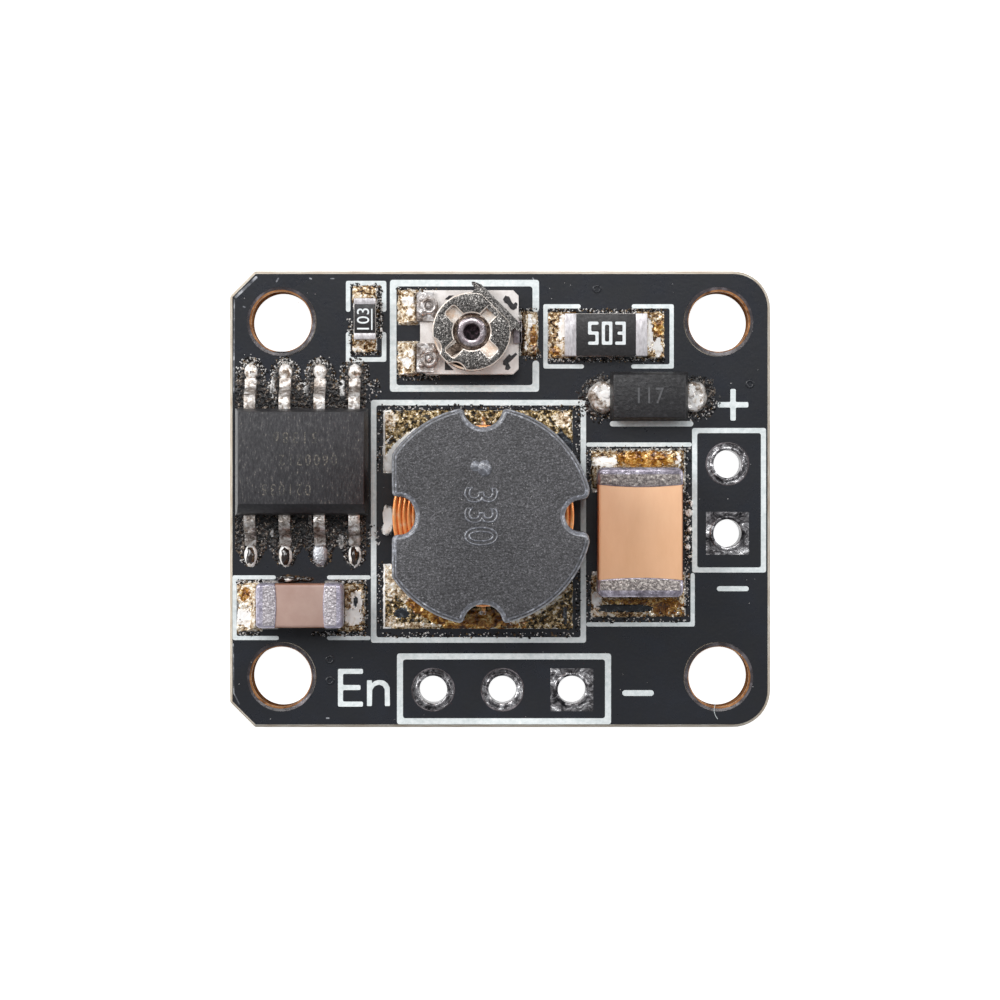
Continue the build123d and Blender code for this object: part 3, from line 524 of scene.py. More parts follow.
def land_kind(x, y):
    """White painted glare along the land's left edge and beside the flange, cream flux in
    the corners and amber flux below the flange."""
    near = min(inside(x, y, low, high) for low, high in INDUCTOR_LANDS if low[1] - 0.3 < y < high[1] + 0.3)
    from_flange = Vector((x - FLANGE_LOOKS[0], y - FLANGE_LOOKS[1]))
    reach = from_flange.length + 0.02 * rough(x, y, 12, 0.2)
    bearing = degrees(atan2(from_flange.y, from_flange.x)) % 360
    if x < -4.0 and near < 0.07 + 0.03 * rough(x, y, 14, 0.1):
        return PALE
    if 128 < bearing < 158 and reach < 4.06 + 0.14 * sin(radians(bearing - 128) * 4.5):
        return PALE
    if 158 < bearing < 200 and reach < 4.4:
        return CREAM
    if 138 < bearing < 152 and 4.43 < reach < 4.47:
        return PALE
    if 228 < bearing < 262 and reach < 4.3 + 0.08 * rough(x, y, 13, 0.2):
        return AMBER
    if (200 < bearing < 228 and reach < 4.3) or (285 < bearing < 322 and reach < 4.13):
        return CREAM
    if 20 < bearing < 48 and reach < 4.24:
        return DARK
    return patch_kind(x, y, LAND_PATCHES)


shape = bmesh.new()
for seed, (low, high) in enumerate(INDUCTOR_LANDS):
    def land_height(x, y, low=low, high=high, seed=seed):
        edge = inside(x, y, low, high) + 0.05 * rough(x, y, 4 + seed, 0.3)
        even = 0.3 if land_kind(x, y) in (PALE, DARK) else 1.0
        lift = 0.045 + 0.05 * even * rough(x, y, 9 + seed, 0.16, 4)
        return min(edge * 1.4 - 0.01, lift)
    sheet_of(shape, low, high, 0.15, land_height, 0.045, land_kind)
add_piece("inductor_land_flux", shape, (foil_and_glint_finish, *FLUX_KINDS[1:]), "solder", "inductor_solder")

# Inductor core: a pressed ferrite drum, two flanges on a post, with a notch on each of
# four sides, softly bevelled rims and a raised number pressed into its top.
CORE_RADIUS = 3.9
CORE_TOP = BOARD_TOP + 4.79
FLANGE_LOW = CORE_TOP - 1.0
FOOT_LOW, FOOT_TOP = BOARD_TOP + 0.1, BOARD_TOP + 1.2
POST_RADIUS = 1.72
RIM = 0.17
LETTER_THICK = 0.01


def arc(centre, radius, start, end, steps):
    """Spots along an arc given in degrees, both ends included."""
    for step in range(steps + 1):
        bearing = radians(start + (end - start) * step / steps)
        yield Vector((centre[0] + radius * cos(bearing), centre[1] + radius * sin(bearing)))


def eased(start, corner, end, steps=6):
    """Spots of a soft bend from start to end past a corner, without its two ends."""
    start, corner, end = Vector(start), Vector(corner), Vector(end)
    for step in range(1, steps):
        t = step / steps
        yield start * (1 - t) ** 2 + corner * (2 * t * (1 - t)) + end * t * t


RIGHT_HALF = (
    list(arc((0, 0), CORE_RADIUS, 14.25, 76.2, 40))
    + list(eased((0.93, 3.787), (0.72, 3.85), (0.66, 3.63)))
    + list(arc((0, 3.85), 0.7, -18, -90, 10))
)
LEFT_HALF = (
    list(arc((0, 3.85), 0.7, -99, -162, 9))
    + list(eased((-0.66, 3.63), (-0.72, 3.85), (-0.93, 3.787)))
    + list(arc((0, 0), CORE_RADIUS, 103.8, 146, 28))
    + list(eased((-3.24, 2.1), (-3.24, 2.0), (-3.24, 0.9), 4))
    + list(eased((-3.24, 0.9), (-3.24, 0.68), (-3.02, 0.67)))
    + [Vector((-2.93 + 0.52 * cos(a * pi / 24), 0.665 * sin(a * pi / 24))) for a in range(12, -1, -1)]
)
RIGHT_MOUTH = (
    list(arc((3.47, 0), 0.56, 180, 96, 10))
    + list(eased((3.45, 0.56), (3.78, 0.56), (3.78, 0.92), 9))
)
NOTCHES = ((0, 3.85), (0, -3.85), (-2.93, 0), (3.42, 0))
UPPER_OUTLINE = RIGHT_MOUTH + RIGHT_HALF + LEFT_HALF
OUTLINE = UPPER_OUTLINE + [Vector((x, -y)) for x, y in UPPER_OUTLINE[-2:0:-1]]


def inset(outline, depth):
    """An outline given anticlockwise, drawn in by a depth."""
    drawn = []
    for i, spot in enumerate(outline):
        into = (spot - outline[i - 1]).normalized()
        out = (outline[(i + 1) % len(outline)] - spot).normalized()
        across = Vector((-into.y - out.y, into.x + out.x)) / (1 + into.dot(out))
        drawn.append(spot + across * depth)
    return drawn


def rounded_plate(shape, outline, low, high, rim, steps=5):
    """Add an upright plate whose top rim is rounded over. The rim's faces are marked for a
    painted highlight, all of them round a notch, and elsewhere those at its outer and its
    inner edge."""
    rings = [(outline, low), (outline, high - rim)]
    for step in range(1, steps + 1):
        turned = step / steps * pi / 2
        rings.append((inset(outline, rim * (1 - cos(turned))), high - rim + rim * sin(turned)))
    rows = [[shape.verts.new((x, y, level)) for x, y in ring] for ring, level in rings]
    for number, (lower, upper) in enumerate(zip(rows, rows[1:])):
        for i in range(len(outline)):
            j = (i + 1) % len(outline)
            face = shape.faces.new((lower[i], lower[j], upper[j], upper[i]))
            by_notch = any((outline[i] - Vector(spot)).length < 0.95 for spot in NOTCHES)
            face.material_index = 1 if number > 1 and (by_notch or number in (2, 3, steps)) else 0
    shape.faces.new(rows[0][::-1])
    shape.faces.new(rows[-1])


def put(shape, middle, turned=0, level=0.0):
    """Turn a shape made about the origin, in degrees, and carry it to its place."""
    place = Matrix.Translation((*middle, level)) @ Matrix.Rotation(radians(turned), 4, "Z")
    bmesh.ops.transform(shape, matrix=place, verts=shape.verts)


def pillar(shape, centre, radius, low, high, segments=48):
    """Add an upright cylinder between two levels."""
    made = bmesh.ops.create_cone(shape, cap_ends=True, segments=segments, radius1=radius,
                                 radius2=radius, depth=high - low)["verts"]
    bmesh.ops.translate(shape, vec=(*centre, (low + high) / 2), verts=made)


drum = bmesh.new()
rounded_plate(drum, OUTLINE, FLANGE_LOW, CORE_TOP, RIM)
rounded_plate(drum, OUTLINE, FOOT_LOW, FOOT_TOP, 0.05, 2)
pillar(drum, (0, 0), POST_RADIUS, FOOT_TOP, FLANGE_LOW, 96)
put(drum, INDUCTOR)
ferrite_finish = surface(
    "pressed_ferrite",
    ((0.34, 38, 37, 39), (0.48, 61, 60, 62), (0.58, 82, 81, 84), (0.7, 138, 137, 140)), 16500, 0.38,
    relief=0.8, relief_scale=14000, specular=0.52, mottle=0.16, detail=4.0, fray=0.74,
)
# A lighter finish for the rims, the number's outline and the gate bumps: a painted highlight where their
# rounded edges catch the lamps.
ferrite_highlight_finish = surface(
    "ferrite_painted_highlight",
    ((0.32, 62, 62, 66), (0.48, 98, 99, 105), (0.58, 134, 136, 144), (0.7, 200, 203, 210)), 7000, 0.26,
    relief=0.7, specular=0.9, mottle=0.25, fray=0.72,
)
add_piece("inductor_drum", drum, (ferrite_finish, ferrite_highlight_finish), "ferrite", "inductor_core", sharp=30)


def evaluated(made):
    """The shape of an object with its modifiers or its text worked out."""
    bpy.context.view_layer.update()
    graph = bpy.context.evaluated_depsgraph_get()
    mesh = bpy.data.meshes.new_from_object(made.evaluated_get(graph))
    shape = bmesh.new()
    shape.from_mesh(mesh)
    bpy.data.meshes.remove(mesh)
    return shape


def add_text(name, words, height, middle, level, turned, width, track, finish,
             slot="white_print", outline=0.0):
    """Add flat or outlined characters, centred on a spot, their height given."""
    letters = bpy.data.curves.new(name, "FONT")
    letters.body = words
    letters.align_x = "CENTER"
    letters.align_y = "CENTER"
    letters.size = height / 0.72
    letters.space_character = track
    if outline:
        letters.fill_mode = "NONE"
        letters.bevel_depth = outline
        letters.bevel_resolution = 2
    else:
        letters.extrude = LETTER_THICK / 2
    holder = bpy.data.objects.new(name, letters)
    bpy.context.scene.collection.objects.link(holder)
    shape = evaluated(holder)
    bpy.data.objects.remove(holder)
    xs = [v.co.x for v in shape.verts]
    ys = [v.co.y for v in shape.verts]
    centred = Matrix.Translation((-(min(xs) + max(xs)) / 2, -(min(ys) + max(ys)) / 2, 0))
    bmesh.ops.transform(shape, matrix=Matrix.Diagonal((width, 1, 1, 1)) @ centred, verts=shape.verts)
    put(shape, middle, turned, level)
    bmesh.ops.remove_doubles(shape, verts=shape.verts, dist=1e-5)
    add_piece(name, shape, (finish,), slot)


# The number's outline takes the painted highlight.
add_text("inductor_number", "330", 1.16, (INDUCTOR[0] - 0.07, INDUCTOR[1] - 0.02), CORE_TOP - 0.008,
         -90, 0.86, 1.05, ferrite_highlight_finish, "ferrite", outline=0.04)
# Two gate bumps, painted lighter as a highlight.
shape = bmesh.new()
for spot, size in (((-0.27, 1.76), (0.19, 0.2, 0.1)), ((0.06, 1.68), (0.26, 0.3, 0.13))):
    made = bmesh.ops.create_icosphere(shape, subdivisions=4, radius=1.0)["verts"]
    place = Matrix.Translation((*spot, CORE_TOP - 0.03)) @ Matrix.Diagonal((*size, 1.0))
    bmesh.ops.transform(shape, matrix=place, verts=made)
put(shape, INDUCTOR)
add_piece("inductor_gate_bumps", shape, (ferrite_highlight_finish,), "ferrite")

# Winding: enamelled copper wire in layers round the post. Its top turns show through the
# notches, and its outer turns between the flanges.
WIRE = 0.17
LAYERS = 9
COIL_LOW, COIL_TOP = FOOT_TOP + 0.03, FLANGE_LOW - 0.03
coil = bmesh.new()
turns = int((COIL_TOP - COIL_LOW) / WIRE)
pitch = (COIL_TOP - COIL_LOW) / turns
rings = [(POST_RADIUS + WIRE * (layer + 0.5), COIL_TOP - WIRE / 2) for layer in range(LAYERS)]
rings += [(rings[-1][0], COIL_TOP - pitch * (number + 0.5)) for number in range(1, turns)]
for radius, level in rings:
    turn_round(coil, radius, level, WIRE / 2, WIRE / 2, 10, steps=72)
put(coil, INDUCTOR)
# The copper's colour is lifted and runs up to pale: painted highlights on strands that sit in the notches'
# shade.
copper_and_highlight_finish = surface(
    "enamelled_copper", ((0.35, 240, 136, 68), (0.55, 255, 172, 106), (0.72, 255, 230, 200)), 1500, 0.2,
    metal=0.5, relief=0.1, relief_scale=6000,
)
add_piece("inductor_turns", coil, (copper_and_highlight_finish,), "enamelled_copper", "inductor_winding")
dress("inductor_wire_ends", amber_finish)
dress("inductor_terminals", solder_finish)
# A solder blob left of the coil, painted white as glare.
shape = bmesh.new()
bead(shape, (-4.08, -0.78), (0.2, 0.56, 1.4), 3, 0.3, 0.35)
bead(shape, (-4.2, -1.1), (0.13, 0.24, 0.5), 5, 0.3, 0.5)
add_piece("inductor_side_blob", shape, (solder_painted_glare,), "solder")

# Controller: a black moulded body with drafted sides and a wide bevel along its front,
# ground matt on top, where fine upright scratches and grey specks show.
CONTROLLER = (-7.22, 1.36)
MARKINGS = (("51386", -7.43, 0.87, 1.5), ("0600712", -6.96, 0.06, 1.35), ("021035", -7.75, -1.02, 1.35))


def soften(shape, edges, size, segments=3, clamp=True):
    """Round edges off, or chamfer them with one segment."""
    ends = list({vert for edge in edges for vert in edge.verts})
    bmesh.ops.bevel(shape, geom=ends + list(edges), offset=size, segments=segments,
                    profile=0.5, affect="EDGES", material=-1, clamp_overlap=clamp)


def moulded(shape, middle, length, width, levels, draft, edge, front=0.0):
    """Add a moulded body about a middle: levels are its underside, parting line and top."""
    rings = []
    for level, drawn_in in zip(levels, (draft, 0.0, draft)):
        half_x, half_y = length / 2 - drawn_in, width / 2 - drawn_in
        rings.append([shape.verts.new((middle[0] + x * half_x, middle[1] + y * half_y, level))
                      for x, y in ((-1, -1), (1, -1), (1, 1), (-1, 1))])
    shape.faces.new(rings[0][::-1])
    shape.faces.new(rings[2])
    for lower, upper in zip(rings, rings[1:]):
        for i in range(4):
            j = (i + 1) % 4
            shape.faces.new((lower[i], lower[j], upper[j], upper[i]))
    if front:
        soften(shape, [shape.edges.get((rings[2][0], rings[2][1]))], front, 1)
    soften(shape, set(shape.edges), edge, 2)


shape = bmesh.new()
moulded(shape, CONTROLLER, 4.85, 3.9, (BOARD_TOP + 0.1, BOARD_TOP + 0.78, BOARD_TOP + 1.45),
        0.14, 0.02, front=0.27)
shape.normal_update()
# The sides and the front bevel take a smoother finish, painted darker than the top as shade.
for face in shape.faces:
    face.material_index = 0 if face.normal.z > 0.95 else 1
mould_finish = surface(
    "ground_mould", ((0.3, 28, 27, 29), (0.5, 49, 48, 51), (0.6, 66, 65, 67), (0.7, 132, 124, 114)),
    11000, 0.5, relief=0.6, relief_scale=12000, stretch=(1.6, 0.5, 1.0), specular=0.35, fray=0.72,
)
flank_and_shade_finish = surface(
    "mould_flank_and_painted_shade", ((0.34, 24, 24, 26), (0.54, 34, 33, 36), (0.72, 48, 47, 50)), 9000, 0.42, relief=0.3,
)
add_piece("controller_moulding", shape, (mould_finish, flank_and_shade_finish), "black_mould", "controller_body")
faint_finish = surface(
    "faint_marking", ((0.44, 50, 49, 49), (0.52, 76, 73, 69), (0.62, 124, 117, 106)), 14000, 0.55,
    relief=0.4, relief_scale=12000,
)
for row, (words, x, y, track) in enumerate(MARKINGS):
    add_text(f"controller_marking_{row}", words, 0.42, (x, CONTROLLER[1] + y), BOARD_TOP + 1.448,
             180, 0.8, track, faint_finish)

# Controller leads: tinned strip, bent down and out again in two round bends, with the
# foot in its own short fillet of solder.
LEAD_WIDTH = 0.42
LEAD_THICK = 0.2
LEAD_XS = [CONTROLLER[0] + (step - 1.5) * 1.27 for step in range(4)]
LEAD_ROUTE = ((1.6, 0.775), (2.16, 0.775), (2.3, 0.76), (2.4, 0.69), (2.47, 0.58), (2.54, 0.4),
              (2.6, 0.24), (2.68, 0.14), (2.8, 0.1), (3.06, 0.1))


def lead(shape, x, side):
    """Add a flat strip that follows the leads' route of distance out and height."""
    route = [Vector(spot) for spot in LEAD_ROUTE]
    sides = []
    for spot, before, after in zip(route, route[:1] + route, route[1:] + route[-1:]):
        run = (after - before).normalized()
        off = Vector((-run.y, run.x)) * LEAD_THICK / 2
        section = ((-1, spot + off), (1, spot + off), (1, spot - off), (-1, spot - off))
        sides.append([shape.verts.new((x + side * across * LEAD_WIDTH / 2,
                                       CONTROLLER[1] + side * out, BOARD_TOP + up))
                      for across, (out, up) in section])
    for near, far in zip(sides, sides[1:]):
        for i in range(4):
            j = (i + 1) % 4
            shape.faces.new((near[i], near[j], far[j], far[i]))
    shape.faces.new(sides[0][::-1])
    shape.faces.new(sides[-1])


shape = bmesh.new()
for x in LEAD_XS:
    for side in (1, -1):
        lead(shape, x, side)
bmesh.ops.recalc_face_normals(shape, faces=shape.faces)
soften(shape, [e for e in shape.edges if len(e.link_faces) == 2 and e.calc_face_angle() > 1.0],
       0.025, 2)
lead_finish = surface(
    "tinned_lead",
    ((0.34, 92, 80, 70), (0.45, 160, 150, 142), (0.54, 206, 199, 193), (0.64, 250, 248, 246)), 4600,
    0.34, metal=0.8, relief=0.7, relief_scale=6500, warp=1.0, mottle=0.2,
)
add_piece("controller_lead_strips", shape, (lead_finish,), "tinned_lead", "controller_leads")

# Controller solder: a glossy bead in front of each toe. One on the front row kept its
# plain matt skin, and dark flux with bright grains lies between the leads.
MATT_LEAD = 2
TOE_ROWS = ((1, 3.3, 0.3, 3.3, (0.035, 0.15, 0.215), 0.3),
            (-1, 3.42, 0.42, 3.44, (0.2, 0.37, 0.26), 0.12))
STREAKS = (
    (PALE, -8.33, 4.2, 0.09, 0.42), (PALE, -7.1, 4.12, 0.09, 0.3), (PALE, -5.78, 4.14, 0.08, 0.4),
    (PALE, -5.83, -1.56, 0.12, 0.26), (PALE, -6.95, -0.75, 0.07, 0.24), (PALE, -8.35, -1.2, 0.06, 0.16),
    (PALE, -5.8, -2.1, 0.05, 0.1),
)
shape, pools = bmesh.new(), bmesh.new()
for number, x in enumerate(LEAD_XS):
    for side, reach, half, pool_reach, pool_size, pool_wobble in TOE_ROWS:
        if side < 0 and number == MATT_LEAD:
            continue
        old = len(shape.faces)
        bead(shape, (x, CONTROLLER[1] + side * reach), (0.25, half, 0.2), 3 * number + side)
        bead(shape, (x, CONTROLLER[1] + side * 2.9), (0.24, 0.28, 0.12), 5 * number + side, 0.1)
        # Front row beads take the white painted glare; back row beads take the stained solder.
        for face in list(shape.faces)[old:]:
            face.material_index = 1 if side > 0 else 0
        bead(pools, (x + 0.01, CONTROLLER[1] + side * pool_reach), pool_size, 7 * number, pool_wobble)
add_piece("controller_toe_solder", shape, (solder_painted_glare, stained_solder), "solder", "controller_solder")
pool_finish = surface(
    "brown_pool", ((0.3, 14, 12, 12), (0.52, 44, 32, 25), (0.7, 136, 110, 80)), 4200, 0.1, relief=0.5,
    relief_scale=6000, coat=0.8, mottle=0.3,
)
add_piece("controller_toe_pools", pools, (pool_finish,), "solder")
matt_finish = surface(
    "matt_solder", ((0.3, 176, 178, 182), (0.7, 206, 208, 212)), 9000, 0.42, metal=1.0, relief=0.8,
    relief_scale=16000,
)
shape = bmesh.new()
bead(shape, (LEAD_XS[MATT_LEAD], CONTROLLER[1] - 3.38), (0.29, 0.46, 0.14), 2, 0.01)
add_piece("controller_matt_toe", shape, (matt_finish,), "solder")

set_flux = surface(
    "set_flux", ((0.38, 70, 68, 66), (0.48, 140, 138, 136), (0.58, 222, 220, 218)), 6500, 0.3,
    relief=0.8, relief_scale=7000, mottle=0.25,
)
shape = bmesh.new()
for side in (1, -1):
    def crust_height(x, y, side=side):
        out = side * (y - CONTROLLER[1])
        near = min(abs(x - lead_x) for lead_x in LEAD_XS)
        reach = (3.66 if side > 0 else 3.84) - 1.7 * max(0.0, near - 0.22)
        edge = min(reach - out, 0.4) + 0.16 * rough(x, y, 20 + side, 0.35)
        return 0.04 * min(1.0, 4 * edge) + 0.03 * rough(x, y, 30 + side, 0.09, 4) - 0.01
    y_from, y_to = sorted((CONTROLLER[1] + side * 1.9, CONTROLLER[1] + side * 4.05))
    sheet_of(shape, (-9.7, y_from), (-4.9, y_to), 0.0, crust_height, 0.04,
             lambda x, y: patch_kind(x, y, STREAKS))
add_piece("controller_flux", shape, (crust_finish, set_flux), "solder")

# Flux grains: where the flux boiled it left a foam of tiny brown and black grains round
# the toes, along the lands and beside the large capacitor, and white grains among them are
# painted glints.
dice = random.Random(7)
GRAIN_FACES = ((0, 2, 4), (2, 1, 4), (1, 3, 4), (3, 0, 4), (2, 0, 5), (1, 2, 5), (3, 1, 5), (0, 3, 5))


def grain(shape, x, y, size, lift=0.0):
    """Add one eight-sided grain that rests on the board."""
    long, wide, tall = (size * dice.uniform(0.6, 1.3) for _ in range(3))
    lean = dice.uniform(0, pi)
    tips = ((long, 0, 0), (-long, 0, 0), (0, wide, 0), (0, -wide, 0), (0, 0, tall), (0, 0, -tall))
    corners = []
    for out, side, up in tips:
        corners.append(shape.verts.new((x + out * cos(lean) - side * sin(lean),
                                        y + out * sin(lean) + side * cos(lean),
                                        BOARD_TOP + lift + size * 0.3 + up)))
    for face in GRAIN_FACES:
        shape.faces.new([corners[i] for i in face])


def arc_spots(centre, radius, start, end, count, spread):
    """Spots strewn along an arc given in degrees."""
    for _ in range(count):
        bearing = radians(dice.uniform(start, end))
        reach = radius + dice.gauss(0, spread)
        yield centre[0] + reach * cos(bearing), centre[1] + reach * sin(bearing)


def box_spots(low, high, count):
    """Spots strewn over a rectangle."""
    for _ in range(count):
        yield dice.uniform(low[0], high[0]), dice.uniform(low[1], high[1])


STREWN_BOXES = (
    ((-9.6, -4.98), (-8.8, -4.88)), ((-6.9, -5.02), (-4.9, -4.84)), ((-9.66, -3.1), (-8.6, -2.95)),
    ((-6.0, -3.1), (-4.9, -2.95)), ((-5.05, -4.8), (-4.85, -3.1)), ((1.8, 5.02), (6.05, 5.2)),
    ((1.75, 6.8), (6.1, 6.98)), ((-5.5, 7.75), (-4.4, 7.9)), ((-5.5, 5.28), (-4.4, 5.45)),
    ((-4.52, 5.9), (-4.3, 7.7)), ((-4.52, 5.9), (-4.3, 7.7)), ((-5.6, 5.7), (-5.4, 6.6)),
    ((-3.8, 7.5), (-2.6, 7.75)), ((-3.8, 4.35), (-2.4, 4.7)), ((-3.0, 4.4), (-2.2, 5.2)),
    ((-3.2, 6.9), (-2.3, 7.7)), ((0.8, 5.1), (1.5, 5.4)), ((0.7, 6.75), (1.4, 7.0)),
)
strewn = []
for lead_x in LEAD_XS:
    strewn += arc_spots((lead_x, CONTROLLER[1] + 3.28), 0.47, -25, 205, 150, 0.05)
    strewn += arc_spots((lead_x, CONTROLLER[1] - 3.4), 0.36, 150, 390, 60, 0.035)
    strewn += arc_spots((lead_x + 0.63, CONTROLLER[1] + 2.95), 0.16, 150, 390, 40, 0.06)
    strewn += box_spots((lead_x + 0.25, CONTROLLER[1] + 2.1), (lead_x + 1.0, CONTROLLER[1] + 3.0), 45)
    strewn += box_spots((lead_x + 0.2, CONTROLLER[1] - 3.1), (lead_x + 1.0, CONTROLLER[1] - 2.2), 50)
    for side in (-1, 1):
        strewn += box_spots((lead_x + side * 0.27 - 0.05, CONTROLLER[1] - 3.2),
                            (lead_x + side * 0.27 + 0.05, CONTROLLER[1] - 2.1), 34)
for start_x, end_x, y in ((-4.3, 3.0, 3.36), (-4.3, 2.7, -4.98), (3.3, 6.8, -4.42), (3.3, 6.8, 1.86)):
    strewn += box_spots((start_x, y - 0.1), (end_x, y + 0.1), int((end_x - start_x) * 26))
for x, start_y, end_y in ((2.86, 0.4, 3.4), (2.86, -4.9, -2.2), (-4.4, 1.0, 3.3), (-4.4, -4.8, -2.3),
                          (6.86, -4.3, 1.9), (3.24, 0.4, 1.8), (3.24, -4.3, -2.8)):
    strewn += box_spots((x - 0.1, start_y), (x + 0.1, end_y), int((end_y - start_y) * 26))
strewn += box_spots((6.72, -2.4), (7.05, 0.1), 130)
for sign in (-1, 1):
    strewn += arc_spots((5.44 + sign * 1.75, 3.75), 0.78, 90 - sign * 100, 90 - sign * 300, 150, 0.07)
for low, high in STREWN_BOXES:
    strewn += box_spots(low, high, int(60 * (high[0] - low[0] + high[1] - low[1])))
dice.shuffle(strewn)
# White grains: painted glints among the flux, and also the white dust specks further down.
glint_and_dust_finish = surface(
    "grain_glint_and_dust", ((0.3, 206, 202, 198), (0.7, 252, 250, 248)), 9000, 0.3, metal=0.2, relief=0.3,
)
brown_grain_finish = surface(
    "brown_grain", ((0.3, 66, 50, 36), (0.5, 112, 90, 64), (0.7, 166, 144, 112)), 9000, 0.3, metal=0.2,
    relief=0.3,
)
black_grain_finish = surface(
    "black_grain", ((0.3, 12, 11, 12), (0.7, 34, 30, 28)), 9000, 0.25, relief=0.3,
)
share = len(strewn) // 20
for name, finish, spots, size in (
    ("flux_grains_painted_glint", glint_and_dust_finish, strewn[:share * 10], 0.028),
    ("brown_flux_grains", brown_grain_finish, strewn[share * 10:share * 13], 0.034),
    ("black_flux_grains", black_grain_finish, strewn[share * 13:], 0.04),
):
    shape = bmesh.new()
    for x, y in spots:
        grain(shape, x, y, size * dice.uniform(0.6, 1.5))
    add_piece(name, shape, (finish,), "solder")

shape = bmesh.new()
for _ in range(170):
    grain(shape, dice.uniform(-9.6, 9.6), dice.uniform(-8.1, 8.1), dice.uniform(0.008, 0.02))
for _ in range(46):
    bearing, reach = dice.uniform(0, 2 * pi), dice.uniform(0.3, 3.4)
    grain(shape, INDUCTOR[0] + reach * cos(bearing), INDUCTOR[1] + reach * sin(bearing),
          dice.uniform(0.007, 0.016), CORE_TOP - BOARD_TOP - 0.004)
add_piece("board_dust", shape, (glint_and_dust_finish,), "solder")


# Ceramic capacitors: a smooth fired block with a dipped metal cup on each end. The cups
# are grainy, and their edge bows towards the middle.
def block(shape, low, high, edge=0.0, segments=3):
    """Add a box between two corners, its edges rounded."""
    made = bmesh.ops.create_cube(shape, size=1.0)["verts"]
    low, high = Vector(low), Vector(high)
    spot = Matrix.Translation((low + high) / 2) @ Matrix.Diagonal((*(high - low), 1.0))
    bmesh.ops.transform(shape, matrix=spot, verts=made)
    if edge:
        soften(shape, {e for v in made for e in v.link_edges}, edge, segments)


def rim_edges(shape, level):
    """The edges between an upward face at a level and the walls round it."""
    found = []
    for edge in shape.edges:
        if len(edge.link_faces) == 2 and all(abs(v.co.z - level) < 1e-4 for v in edge.verts):
            ups = [abs(f.normal.z) > 0.9 for f in edge.link_faces]
            if ups.count(True) == 1:
                found.append(edge)
    return found


def cup(shape, inner, outer, half_width, height, edge, bow):
    """Add an end cup along X from inner to outer: its outer edges are rounded, its inner
    edge is thin and bowed, and its end and corners are marked for the smoother finish."""
    sign = 1 if outer > inner else -1
    blank = bmesh.new()
    low, high = sorted((inner, outer))
    block(blank, (low, -half_width, 0.0), (high, half_width, height))
    far = [e for e in blank.edges if all(abs(v.co.x - outer) < 1e-5 for v in e.verts)
           and abs(e.verts[0].co.z - e.verts[1].co.z) > 0.1]
    soften(blank, far, edge, 6)
    blank.normal_update()
    outer_rim = [e for e in rim_edges(blank, height) if any(abs(v.co.x - inner) > 1e-5 for v in e.verts)]
    soften(blank, outer_rim, 0.14, 5)
    soften(blank, [e for e in blank.edges if all(abs(v.co.x - inner) < 1e-5 for v in e.verts)], 0.03, 2)
    smooth_from = outer - sign * 0.25
    slices = [((0, step / 6 * half_width, 0), (0, 1, 0)) for step in range(-5, 6)]
    for place, across in [*slices, ((smooth_from, 0, 0), (1, 0, 0))]:
        bmesh.ops.bisect_plane(blank, geom=[*blank.verts, *blank.edges, *blank.faces],
                               plane_co=place, plane_no=across)
    blank.normal_update()
    for face in blank.faces:
        beyond = sign * (face.calc_center_median().x - smooth_from) > 0
        face.material_index = 1 if face.normal.z < 0.96 or beyond else 0
    for vert in blank.verts:
        near = max(0.0, 1 - abs(vert.co.x - inner) / 0.2)
        vert.co.x -= sign * bow * near * (1 - (vert.co.y / half_width) ** 2)
    take_in(shape, blank)


def take_in(shape, other):
    """Move another shape's faces into a shape."""
    mesh = bpy.data.meshes.new("moved")
    other.to_mesh(mesh)
    other.free()
    shape.from_mesh(mesh)
    bpy.data.meshes.remove(mesh)


def capacitor(stem, middle, turned, size, cap_length, bow, edge, slot, finishes):
    """A block and its two cups, at their place on the board."""
    length, width, height = size
    body = bmesh.new()
    block(body, (-length / 2 + 0.12, -width / 2 + 0.02, 0.05),
          (length / 2 - 0.12, width / 2 - 0.02, height - 0.04), 0.12, 4)
    body.normal_update()
    # The block's sides take a darker copy of its finish: painted shade.
    for face in body.faces:
        face.material_index = 1 if face.normal.z < 0.8 else 0
    cups = bmesh.new()
    for sign in (1, -1):
        cup(cups, sign * (length / 2 - cap_length), sign * length / 2, width / 2, height, edge, bow)
    put(body, middle, turned, BOARD_TOP)
    put(cups, middle, turned, BOARD_TOP)
    add_piece(stem + "_block", body, finishes[:2], slot, stem + "_body", sharp=60)
    add_piece(stem + "_cups", cups, finishes[2:], "tinned_cap", stem + "_end_caps", sharp=60)


peach_finish = surface(
    "peach_ceramic", ((0.3, 236, 182, 138), (0.52, 244, 192, 150), (0.72, 250, 202, 160)), 260, 0.36,
    relief=0.06, stretch=(3.0, 1.0, 1.0), mottle=0.03,
)
# A darker copy of the peach ceramic for the block's sides: painted shade.
peach_painted_shade = surface(
    "peach_painted_shade", ((0.3, 158, 96, 58), (0.52, 182, 116, 74), (0.72, 204, 138, 92)), 900, 0.4,
    relief=0.1,
)
brown_finish = surface(
    "brown_ceramic", ((0.3, 168, 136, 124), (0.52, 180, 150, 138), (0.72, 190, 162, 150)), 700, 0.42,
    relief=0.06, mottle=0.03,
)
